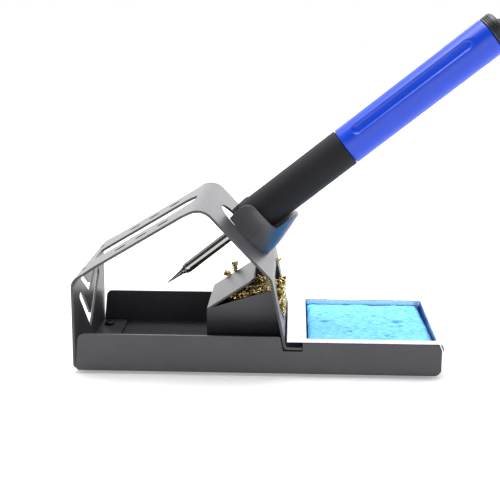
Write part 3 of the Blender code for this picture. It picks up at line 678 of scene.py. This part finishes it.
def pan_screw(name, place, head, height, shank, length):
    """A pan head screw with a cross recess, its seat at local z = 0."""
    profile = [(0, height)]
    for step in range(1, 9):
        angle = math.pi / 2 * step / 8
        profile.append((head * math.sin(angle), height * (0.35 + 0.65 * math.cos(angle))))
    profile += [(head, 0), (shank, 0), (shank, -length + 0.4), (shank - 0.4, -length),
                (0, -length)]
    screw = turned(name, profile, place, steps=48)
    blades = []
    for turn in (0, math.pi / 2):
        blade = box("blade", (-head * 0.62, -head * 0.13, height * 0.3),
                    (head * 0.62, head * 0.13, height + 1))
        blade.matrix_world = STAND @ place @ Matrix.Rotation(turn, 4, "Z")
        blades.append(blade)
    combine(screw, blades)
    return smooth(screw, 40)


def make_screws():
    for number, side in ((1, -1), (2, 1)):
        place = (at(FOOT_SCREW_X, side * FOOT_SCREW_Y, 3.0)
                 @ Matrix.Rotation(0.4 * number, 4, "Z"))
        foot = pan_screw(f"foot_screw_{number}", place, head=2.6, height=1.5, shank=1.4,
                         length=2.9)
        dress(foot, "screw_metal", "stand", f"arch_screw_{number}")
        seat = (plate_normal(CUP_SCREW_RISE, side * CUP_SCREW_Y) @ at(0, 0, -1.5)
                @ Matrix.Rotation(math.pi, 4, "X"))
        cup = pan_screw(f"scoop_screw_{number}", seat, head=2.2, height=1.4, shank=1.1,
                        length=5.0)
        dress(cup, "screw_metal", "stand", f"cup_screw_{number}")


# ---------------- holder cup

CUP_WALL = 1.5
CUP_HALF_WIDTH = 12.0
CUP_FLARE = 1.7
CUP_TAPER = 2.7
CUP_LEAN = 2.6
CUP_FLOOR = -19.4
CUP_FLOOR_RISE = 4.7
# Distances out from the plate: the floor starts to rise, the lobes end, the low rim ends.
CUP_LEVEL = 4.0
LOBE_OUT = 13.3
CUP_OUT = 25.2


def cup_section(out, inset):
    """One U-shaped slice of the cup at a distance out from the plate, moved in by inset."""
    flare = min(max(out / LOBE_OUT, 0), 1)
    half_width = CUP_HALF_WIDTH + CUP_FLARE * flare * flare * (3 - 2 * flare)
    half_width -= CUP_TAPER * (max(out - LOBE_OUT, 0) / (CUP_OUT - LOBE_OUT)) ** 1.6
    half_width -= inset
    slope = max(out - CUP_LEVEL, 0) / (CUP_OUT - CUP_LEVEL)
    bottom = CUP_FLOOR + CUP_FLOOR_RISE * slope ** 1.3 + inset
    top = 9.0 + 3 * inset
    curve = [(half_width, -6.0), (0.85 * half_width, -11.0), (0.4 * half_width, bottom),
             (0.0, bottom)]
    # The lobes lean in towards their tops.
    side = []
    for step in range(9):
        rise = top * (1 - step / 8)
        side.append((half_width - CUP_LEAN * (rise / top) ** 1.7, rise))
    steps = 20
    for step in range(steps + 1):
        t = step / steps
        weights = ((1 - t) ** 3, 3 * t * (1 - t) ** 2, 3 * t * t * (1 - t), t ** 3)
        side.append((sum(w * p[0] for w, p in zip(weights, curve)),
                     sum(w * p[1] for w, p in zip(weights, curve))))
    mirrored = [(-y, z) for y, z in side[-2::-1]]
    return [(out, y, z) for y, z in side + mirrored]


def cup_body(name, inset, start, end):
    count = 36
    return skin(name, [cup_section(start + (end - start) * step / count, inset)
                       for step in range(count + 1)], PLATE, caps=True)


def make_cup():
    cup = cup_body("holder_scoop", 0.0, 0.05, 26.2)
    hollow = cup_body("hollow", CUP_WALL, -0.7, 27.2)
    web = box("web", (-3, -20, -30), (4.5, 20, -11.35))
    web.matrix_world = STAND @ PLATE
    combine(hollow, [web])
    side_view = [(0.04, -24, 0), (0.04, 8.3, 0.9), (LOBE_OUT, 8.3, 5.0),
                 (LOBE_OUT, -11.0, 1.0), (CUP_OUT, -13.2, 0.8), (CUP_OUT, -24, 0)]
    trim = flat_solid("trim", [rounded(side_view)[::-1]], 40, PLATE @ SIDE)
    combine(cup, [hollow])
    combine(cup, [trim], "INTERSECT")
    soften(cup, width=0.35, segments=3, angle=40)
    return dress(cup, "cup_plastic", "stand", "holder_cup")


# ---------------- wool box

BOX_LEFT = -25.5
BOX_HALF_WIDTH = 20.5
BOX_FOLD = 27.4
FLAP_END = (-2.5, 42.7)
NEAR_CORNER = (6.7, 37.2)
FAR_CORNER = (6.0, 40.4)


def make_wool_box():
    floor, right, right_rise = 1.5, 11.6, 14.7
    fold = [(right - 0.2, floor, 0), (BOX_LEFT, floor, 1.4), (BOX_LEFT, BOX_FOLD, 1.2),
            (*FLAP_END, 0)]
    shell = bent_sheet("wool_house", fold, 1.0, 2 * BOX_HALF_WIDTH)
    # The flap's free corners are rounded.
    rise = FLAP_END[1] - BOX_FOLD
    run = FLAP_END[0] - BOX_LEFT
    length, radius = math.hypot(run, rise), 3.0
    corners = []
    for side in (-1, 1):
        edge = BOX_HALF_WIDTH + 0.5
        outline = [(length - radius, side * edge), (length + 1, side * edge),
                   (length + 1, side * (BOX_HALF_WIDTH - radius))]
        for step in range(8, -1, -1):
            angle = math.pi / 2 * step / 8
            outline.append((length - radius + radius * math.sin(angle),
                            side * (BOX_HALF_WIDTH - radius + radius * math.cos(angle))))
        corners.append(outline)
    place = tilted((BOX_LEFT, BOX_FOLD), -math.atan2(rise, run))
    combine(shell, [flat_solid("corners", corners, 3.0, place)])
    right_edge = [(BOX_LEFT, floor, 1.0), (right, floor, 0), (right, right_rise, 0)]
    near = right_edge + [(*NEAR_CORNER, 1.0), (BOX_LEFT, BOX_FOLD - 0.3, 0)]
    # The far wall has a tab that reaches through the arch's window.
    far = right_edge + [(9.6, 25.6, 0), (11.6, 25.6, 0.6), (8.9, 38.4, 0.8), (6.9, 38.4, 0),
                        (*FAR_CORNER, 0.6), (FLAP_END[0] - 0.3, FLAP_END[1] - 0.7, 0),
                        (BOX_LEFT + 0.3, BOX_FOLD - 0.3, 0)]
    middle = BOX_HALF_WIDTH - 0.5
    walls = [flat_solid("near", [rounded(near)], 1.0, SIDE, z=middle),
             flat_solid("far", [rounded(far)], 1.0, SIDE, z=-middle)]
    combine(shell, walls, "UNION")
    soften(shell, width=0.2)
    return dress(shell, "box_steel", "wool_box", "wool_box")


# ---------------- sponge tray and sponge

TRAY_TOP = 16.9
TRAY_SHEET = 0.5
TUB_CORNER = 1.5


def ring_points(left, right, half_width, radius, z, per_corner=8):
    """A rectangle with rounded corners at height z, anticlockwise from its right side."""
    points = []
    corners = ((right, half_width, 0), (left, half_width, 1), (left, -half_width, 2),
               (right, -half_width, 3))
    for x, y, quarter in corners:
        centre = Vector((x - math.copysign(radius, x - (left + right) / 2),
                         y - math.copysign(radius, y)))
        for step in range(per_corner + 1):
            angle = math.pi / 2 * (quarter + step / per_corner)
            points.append((centre.x + radius * math.cos(angle),
                           centre.y + radius * math.sin(angle), z))
    return points


def make_sponge_tray():
    lip = [(88.6, 12.6, 0), (88.6, TRAY_TOP, 2.6), (14.1, TRAY_TOP, 0)]
    rim = bent_sheet("rim", lip, -TRAY_SHEET, DEPTH)
    mouth = 0.9
    left, right, half = 23.5, 85.4, 32.3
    opening = [(x, y) for x, y, _ in
               ring_points(left - mouth, right + mouth, half + mouth, TUB_CORNER + mouth, 0)]
    combine(rim, [flat_solid("opening", [opening], 6, at(0, 0, TRAY_TOP))])
    soften(rim, width=0.24, segments=4)
    rings = []
    for step in range(7):
        angle = math.pi / 2 * step / 6
        out = mouth * (1 - math.sin(angle))
        rings.append(ring_points(left - out, right + out, half + out, TUB_CORNER + out,
                                 TRAY_TOP - mouth * (1 - math.cos(angle))))
    bottom, fillet = 3.0, 1.4
    for step in range(7):
        angle = math.pi / 2 * step / 6
        inward = fillet * (1 - math.cos(angle))
        rings.append(ring_points(left + inward, right - inward, half - inward,
                                 max(TUB_CORNER - inward, 0.25),
                                 bottom + fillet * (1 - math.sin(angle))))
    tub = skin("tub", rings)

    def close_bottom(body):
        bmesh.ops.holes_fill(body, edges=[e for e in body.edges if e.is_boundary and all(
            v.co.z < (bottom + 0.1) * MM for v in e.verts)])

    edit_mesh(tub.data, close_bottom)
    thick = tub.modifiers.new("sheet", "SOLIDIFY")
    thick.thickness = TRAY_SHEET * MM
    thick.offset = -1
    if max(p.normal.z for p in tub.data.polygons if len(p.vertices) > 8) < 0:
        thick.offset = 1
    apply_modifiers(tub)
    smooth(tub, 50)
    tray = join_objects("steel_tray", [rim, tub])
    return dress(tray, "polished_steel", "sponge_tray", "sponge_tray")


# Large pits in the sponge's top, as (x, y, half length, half depth).
SPONGE_PITS = ((33.3, 1.0, 3.0, 1.8), (58.9, 11.5, 1.6, 1.6), (69.9, 1.5, 2.8, 1.6),
               (45.0, -14.0, 1.5, 1.3), (63.0, -20.0, 1.3, 1.4))


def sponge_height(x, y, left, right, half):
    """The sponge's torn and wavy top, with pits, above the middle of its top face."""
    here = Vector((x, y, 0))
    wave = 0.55 * noise.noise(here * 0.09) + 0.3 * noise.noise(here * 0.23 + Vector((7, 3, 1)))
    grit = 0.16 * noise.noise(here * 0.9) + 0.10 * noise.noise(here * 2.1)
    pits = 0.0
    for scale, depth, size in ((0.16, 1.3, 0.20), (0.42, 0.7, 0.24)):
        distance = noise.voronoi(here * scale + Vector((3.1, 9.7, 0.5)))[0][0]
        if distance < size:
            pits += depth * (1 - distance / size) ** 0.7
    for pit_x, pit_y, wide, deep in SPONGE_PITS:
        distance = math.hypot((x - pit_x) / wide, (y - pit_y) / deep)
        pits += 2.6 * max(1 - distance ** 2, 0)
    edge = min(x - left, right - x, half - abs(y))
    droop = 1.6 * math.exp(-max(edge, 0) / 1.1)
    return wave + grit - pits - droop


def make_sponge():
    left, right, half = 24.4, 84.2, 31.4
    top, bottom = 14.6, 3.6
    body = bmesh.new()
    step = 0.55
    columns = int((right - left) / step)
    rows = int(2 * half / step)
    layers = 12

    def waver(size, x, y, z=0):
        return size * noise.noise(Vector((x, y, z)))

    def place(u, v, w):
        """u, v and w run from 0 to 1 across, along and up the block."""
        y = -half + 2 * half * v
        # The right edge leans away from the tray's wall towards the back.
        reach = right - 2.0 * max(v - 0.25, 0) ** 1.2 + waver(0.5, 3, y * 0.12)
        near = left + waver(0.3, 9, y * 0.10)
        x = near + (reach - near) * u
        y += waver(0.5, x * 0.10, 5) * (1 if v > 0.5 else 0.4)
        y -= 0.9 * max(v - 0.9, 0) * 10 * (0.5 + waver(0.5, x * 0.15, 1, 2))
        height = bottom + (top - bottom) * w
        if w == 1:
            height = top + sponge_height(x, y, near, reach, half)
        bulge = waver(0.5, x * 0.3, y * 0.3, height * 0.5)
        if u in (0, 1):
            x += bulge * (1 - w)
        if v in (0, 1):
            y += bulge * (1 - w)
        return Vector((x, y, height)) * MM

    def grid(make, count_a, count_b):
        made = [[body.verts.new(make(a / count_a, b / count_b)) for b in range(count_b + 1)]
                for a in range(count_a + 1)]
        for a in range(count_a):
            for b in range(count_b):
                body.faces.new((made[a][b], made[a + 1][b], made[a + 1][b + 1],
                                made[a][b + 1]))

    grid(lambda a, b: place(a, b, 1), columns, rows)
    grid(lambda a, b: place(a, b, 0), columns, rows)
    for fixed in (0, 1):
        grid(lambda a, b: place(fixed, a, b), rows, layers)
        grid(lambda a, b: place(a, fixed, b), columns, layers)
    bmesh.ops.remove_doubles(body, verts=body.verts, dist=0.00002)
    bmesh.ops.recalc_face_normals(body, faces=body.faces)
    sponge = add_mesh("wet_sponge", new_mesh("wet_sponge", body))
    sponge.data.shade_smooth()
    dress(sponge, "cellulose", "sponge", "sponge")
    return sponge


# ---------------- brass wool

def curl_strand(rng, start, heading, turns, radius, width, step_count):
    """One flat shaving: a helix that wanders, as pairs of edge points."""
    axis = heading.normalized()
    side = axis.orthogonal().normalized()
    other = axis.cross(side)
    pitch = rng.uniform(0.5, 1.3)
    phase = rng.uniform(0, math.tau)
    drift = Vector((rng.uniform(-1, 1), rng.uniform(-1, 1), rng.uniform(-1, 1))) * 0.6
    pairs = []
    for step in range(step_count + 1):
        t = step / step_count
        angle = phase + turns * math.tau * t
        r = radius * (0.75 + 0.5 * math.sin(3.1 * t + phase))
        centre = start + axis * (pitch * turns * (t - 0.5)) + drift * t * t
        arm = side * math.cos(angle) + other * math.sin(angle)
        tilt = (axis + arm * 0.5 * math.sin(2.3 * angle)).normalized()
        point = centre + arm * r
        half = width / 2 * (1 - 0.5 * t * t)
        pairs.append((point - tilt * half, point + tilt * half))
    return pairs


def under_flap(x):
    """Height of the flap's underside above x."""
    slope = (FLAP_END[1] - BOX_FOLD) / (FLAP_END[0] - BOX_LEFT)
    return BOX_FOLD - 1.2 + (x - BOX_LEFT) * slope


def near_wall_top(x):
    slope = (NEAR_CORNER[1] - BOX_FOLD) / (NEAR_CORNER[0] - BOX_LEFT)
    return BOX_FOLD + (x - BOX_LEFT) * slope


# How far the plate falls for each step to the right, and the right leg's inner line.
PLATE_FALL = 1.065
LEG_X, LEG_Z, LEG_LEAN = 4.4, 47.0, 0.207


def wool_allowed(point):
    """Keeps a strand off the flap, the plate, the near wall and the window's frame."""
    x, y, z = point
    if x < FLAP_END[0] + 0.6 and z > under_flap(x) - 0.2:
        return False
    if z > PLATE_POINT[1] - (x - PLATE_POINT[0]) * PLATE_FALL - 2.4:
        return False
    if x > LEG_X + (LEG_Z - z) * LEG_LEAN:
        # Through the leg's window, which narrows towards its top and bottom.
        reach = min(17.5 + max(z - 20.5, 0) * 0.7, 24.0, 16.0 + max(42.0 - z, 0) * 1.3)
        return 20.8 < z < 41.5 and abs(y) < reach and x < 13.4
    return abs(y) < BOX_HALF_WIDTH - 1.2 or z > near_wall_top(x) + 2


def make_wool():
    rng = random.Random(11)
    body = bmesh.new()

    def add(pairs):
        made = [[body.verts.new(point * MM) for point in pair] for pair in pairs]
        for near, far in zip(made, made[1:]):
            body.faces.new((near[0], near[1], far[1], far[0]))

    def scatter(count, pick, radii, widths, free=False):
        done = 0
        while done < count:
            heading = Vector((rng.uniform(-1, 1), rng.uniform(-1, 1), rng.uniform(-0.8, 0.8)))
            pairs = curl_strand(rng, pick(), heading, rng.uniform(1.0, 2.4),
                                rng.uniform(*radii), rng.uniform(*widths), rng.randint(14, 22))
            if free or all(wool_allowed(point) for pair in pairs for point in pair):
                add(pairs)
                done += 1

    def along_near_wall():
        x = 4.6 - 19.0 * rng.random() ** 1.3
        z = near_wall_top(x) + rng.uniform(-1.5, 2.2)
        return Vector((x, rng.uniform(-19.0, -13.0), min(z, under_flap(min(x, -3)) - 0.8)))

    def inside():
        x = 3.8 - 18.0 * rng.random() ** 1.5
        z = near_wall_top(x) + rng.uniform(-2.5, 1.5) + max(x + 8, 0) * 0.1
        return Vector((x, rng.uniform(-15.0, 17.5), min(z, under_flap(min(x, -3)) - 1.0)))

    def window():
        rise = rng.random() ** 1.15
        reach = 13.5 + 6.5 * math.sin(math.pi * rise)
        return Vector((rng.uniform(10.3, 12.4), rng.uniform(-reach, reach), 22.0 + 13.0 * rise))

    def behind_window():
        z = rng.uniform(20.0, 36.5)
        return Vector((10.2 - (z - 20) * 0.2 - rng.uniform(0, 3), rng.uniform(-16, 16), z))

    scatter(120, along_near_wall, (0.7, 1.35), (0.8, 1.4))
    scatter(150, inside, (0.9, 1.6), (0.8, 1.4))
    scatter(175, window, (0.8, 1.5), (0.9, 1.6))
    scatter(110, behind_window, (0.9, 1.5), (0.8, 1.4))
    # Stray curls over the flap's back edge, and a tuft at the far wall's top.
    strays = (((-13.8, 21.6, 38.8), (1.0, 1.0), 22), ((-14.0, 21.6, 36.4), (0.5, 1.4), 14),
              ((-18.2, 21.6, 33.4), (1.6, 0.6), 16), ((8.7, 19.0, 41.7), (0.7, 0.8), 9))
    for centre, (wide, tall), count in strays:
        def near_centre():
            spread = Vector((rng.uniform(-1, 1) * wide, rng.uniform(-1, 1) * 0.5,
                             rng.uniform(-1, 1) * tall))
            return Vector(centre) + spread
        scatter(count, near_centre, (0.5, 0.9), (0.6, 1.0), free=True)
    wool = add_mesh("wool_curls", new_mesh("wool_curls", body))
    thick = wool.modifiers.new("gauge", "SOLIDIFY")
    thick.thickness = 0.05 * MM
    apply_modifiers(wool)
    wool.data.shade_smooth()
    return dress(wool, "wool_brass", "wool_box", "brass_wool")


# ---------------- iron

# Heights along the iron, which run up its axis from where it meets the plate.
GRIP_RADIUS = 9.65
GRIP_FRONT = 7.0
GRIP_REAR = 64.15
BORE_RADIUS = 6.8
SHELL_BORE_RADIUS = 7.6
BORE_STEP = 75.0


def arc_profile(centre_r, centre_z, radius, start, end, steps=8):
    """Points of an arc in a (radius, height) profile, angles in degrees from outward."""
    points = []
    for step in range(steps + 1):
        angle = math.radians(start + (end - start) * step / steps)
        points.append((centre_r + radius * math.cos(angle),
                       centre_z + radius * math.sin(angle)))
    return points


def make_grip():
    sleeve = [(BORE_RADIUS, GRIP_REAR + 0.5)]
    sleeve += arc_profile(GRIP_RADIUS - 0.5, GRIP_REAR, 0.5, 90, 0, 5)
    for step in range(1, 30):
        sleeve.append((GRIP_RADIUS, GRIP_REAR - (GRIP_REAR - GRIP_FRONT) * step / 30))
    sleeve += arc_profile(GRIP_RADIUS - 2.4, GRIP_FRONT, 2.4, 0, -90) + [(BORE_RADIUS, 4.6)]
    turned_piece("grip_sleeve", sleeve, 60, "foam", "iron", "foam_grip", closed=True,
                 steps=128)
    nose = [(3.1, 4.2), (6.3, 4.2), (6.6, 3.9), (6.6, 3.1), (6.2, 2.9), (6.2, 2.5),
            (6.6, 2.3), (6.3, 1.7), (5.2, 0.8), (3.5, 0.8), (3.1, 1.2)]
    turned_piece("nose_ring", nose, 40, "black_plastic", "iron", "nose_collar", closed=True)


def circle(radius, height, count):
    return [(radius * math.cos(math.tau * step / count),
             radius * math.sin(math.tau * step / count), height) for step in range(count)]


def make_handle():
    """The blue shell: a tube with three long round-ended flutes."""
    front, rear, flute_front, flute_rear = 65.0, 150.0, 72.4, 140.2
    half_width, depth = 2.15, 0.95
    around = 180
    # Slices are closest at the shell's rounded ends and at the ends of its flutes.
    heights = [front, front, front + 0.15, front + 0.45, front + 1.0]
    for low, high, count in ((front + 2.0, flute_front - 0.5, 6),
                             (flute_front, flute_front + 4.0, 14),
                             (flute_front + 6.0, flute_rear - 6.0, 30),
                             (flute_rear - 4.0, flute_rear, 14),
                             (flute_rear + 1.0, rear - 1.0, 5)):
        heights += list(np.linspace(low, high, count))
    heights += [rear - 0.45, rear - 0.15, rear, rear]
    rings = []
    for index, height in enumerate(heights):
        radius = GRIP_RADIUS
        end = min(height - front, rear - height)
        if index in (0, len(heights) - 1):
            radius = BORE_RADIUS if index == 0 else SHELL_BORE_RADIUS
        elif end < 0.5:
            radius -= 0.5 - math.sqrt(max(0.25 - (0.5 - end) ** 2, 0))
        ring = []
        for step in range(around):
            angle = math.tau * step / around
            here = radius
            if index not in (0, len(heights) - 1):
                nearest = round(angle / (math.tau / 3)) * math.tau / 3
                across = GRIP_RADIUS * (angle - nearest)
                beyond = max(flute_front + half_width - height,
                             height - flute_rear + half_width, 0)
                distance = math.hypot(across, beyond) / half_width
                if distance < 1.25:
                    fall = max(1 - (distance / 1.25) ** 2, 0)
                    here -= depth * min(fall * 1.6, 1) ** 1.3
            ring.append((here * math.cos(angle), here * math.sin(angle), height))
        rings.append(ring)
    bore = [circle(SHELL_BORE_RADIUS, rear - 0.01, around),
            circle(SHELL_BORE_RADIUS, BORE_STEP, around), circle(BORE_RADIUS, BORE_STEP, around)]
    shell = smooth(skin("handle_sleeve", rings + bore + [rings[0]], IRON), 50)
    dress(shell, "blue_plastic", "iron", "handle_shell")


def make_handle_end():
    cap = [(3.6, 156.0), (7.0, 156.0)] + arc_profile(7.6, 154.0, 2.0, 88, 2)
    for groove in (153.3, 152.4, 151.5):
        cap += [(9.62, groove + 0.2), (9.25, groove), (9.62, groove - 0.2)]
    cap += [(9.6, 150.5), (9.4, 150.3), (7.3, 150.3), (7.3, 143.0), (5.8, 143.0),
            (5.8, 154.0), (3.6, 154.0)]
    turned_piece("rear_cap", cap, 40, "black_plastic", "iron", "end_cap", closed=True)
    inlet = [(2.1, 160.6), (2.4, 161.0), (3.3, 161.0), (3.6, 160.7)]
    for groove in (159.6, 158.5):
        inlet += [(3.85, groove + 0.35), (3.4, groove), (3.95, groove - 0.35)]
    inlet += [(4.5, 157.4), (4.7, 156.5), (4.6, 156.3), (3.3, 156.3), (3.3, 153.7),
              (5.0, 153.7), (5.0, 152.0), (2.1, 152.0)]
    turned_piece("cord_inlet", inlet, 35, "rubber", "iron", "cable_inlet", closed=True)


def make_cartridge():
    tip = [(0, -29.6), (2.0, -29.6), (2.0, -36.1), (2.45, -36.3), (2.55, -36.7),
           (2.1, -37.1), (1.75, -37.3), (1.75, -38.2), (1.45, -38.5)]
    for step in range(1, 13):
        t = step / 12
        tip.append((0.30 + 1.10 * (1 - t) ** 1.1, -38.5 - 9.7 * t))
    tip += [(0.20, -48.45), (0, -48.5)]
    turned_piece("needle_tip", tip, 40, "tip_plating", "cartridge", "solder_tip", steps=64)
    tube = [(2.3, 54.0), (2.6, 54.0), (2.75, 53.8), (2.75, -33.6), (2.68, -33.9),
            (2.75, -34.2), (2.75, -35.3), (2.6, -35.8), (2.3, -36.0)]
    turned_piece("steel_shaft", tube, 30, "tube_steel", "cartridge", "cartridge_tube",
                 closed=True)


def finish_hidden_nodes():
    """The pieces inside the handle and the cartridge keep their CAD shape."""
    slots = {entry["node"]: entry["material_slot"] for entry in frame["record"]["subparts"]}
    for name, node in frame["nodes"].items():
        if not node.hide_render:
            for slot in node.material_slots:
                slot.material = MATERIALS[slots[name]]


# ---------------- stage

def world_strength(tree):
    """Brightness of the surroundings: white behind, dimmer overhead and in front."""
    parts = tree.nodes.new("ShaderNodeSeparateXYZ")
    direction = tree.nodes.new("ShaderNodeTexCoord").outputs["Generated"]
    tree.links.new(direction, parts.inputs[0])
    levels = []
    for axis, start, end, from_low, from_high in (("Y", 0.10, 2.3, -0.3, 0.5),
                                                  ("Z", 1.0, 0.40, 0.15, 0.85)):
        level = map_range(tree, parts.outputs[axis], start, end, from_low, from_high)
        level.interpolation_type = "SMOOTHSTEP"
        levels.append(level.outputs["Result"])
    # The camera itself sees plain white on every side.
    seen = tree.nodes.new("ShaderNodeMix")
    seen.inputs["B"].default_value = 1.0
    camera_ray = tree.nodes.new("ShaderNodeLightPath").outputs["Is Camera Ray"]
    tree.links.new(camera_ray, seen.inputs["Factor"])
    tree.links.new(product(tree, *levels), seen.inputs["A"])
    return seen.outputs["Result"]


def make_stage():
    bpy.ops.mesh.primitive_plane_add(size=8.0, location=(0, 0, 0))
    floor = bpy.context.object
    floor.name = "studio_floor"
    recipe = Recipe("studio_white").set(Base_Color=(0.84, 0.84, 0.84), Roughness=0.7,
                                        Emission_Color=(1, 1, 1))
    # The floor glows as painted light: weaker within 0.12 m of the stand, rising out to 0.7 m.
    glow = recipe.span(recipe.vector("LENGTH", recipe.place), 0.30, 0.75, 0.12, 0.7)
    floor.data.materials.append(recipe.feed(Emission_Strength=glow))

    world = bpy.data.worlds.new("studio")
    world.use_nodes = True
    bpy.context.scene.world = world
    tree = world.node_tree
    background = tree.nodes["Background"]
    background.inputs["Color"].default_value = (1, 1, 1, 1)
    tree.links.new(world_strength(tree), background.inputs["Strength"])


def add_light(name, place, target, size, watts):
    data = bpy.data.lights.new(name, "AREA")
    data.shape = "RECTANGLE"
    data.size, data.size_y = size
    data.energy = watts
    lamp = bpy.data.objects.new(name, data)
    bpy.context.scene.collection.objects.link(lamp)
    lamp.location = place
    lamp.rotation_euler = (Vector(target) - Vector(place)).to_track_quat("-Z", "Y").to_euler()


def make_lights():
    add_light("overhead", (-0.1, 0.15, 1.0), (0, 0, 0.04), (1.0, 0.7), 14)
    add_light("front_fill", (0.1, -1.0, 0.20), (0, 0, 0.03), (1.2, 0.3), 2.3)


def make_camera():
    """The photograph's view, fitted to the edges of the base tray and the sponge tray."""
    data = bpy.data.cameras.new("photo_view")
    data.lens = 68.35
    data.sensor_width = 36.0
    data.clip_end = 20
    camera = bpy.data.objects.new("photo_view", data)
    bpy.context.scene.collection.objects.link(camera)
    tilt_down, turn = 14.25, 2.73
    camera.location = (STAND @ at(16.87, -463.25, 169.78)).translation
    camera.rotation_euler = (math.radians(90 - tilt_down), 0, math.radians(turn))
    bpy.context.scene.camera = camera
    bpy.context.scene.view_settings.view_transform = "Standard"


make_base_tray()
make_foot_pads()
make_arch()
make_screws()
make_cup()
make_wool_box()
make_wool()
make_sponge_tray()
make_sponge()
make_grip()
make_handle()
make_handle_end()
make_cartridge()
finish_hidden_nodes()
make_stage()
make_lights()
make_camera()
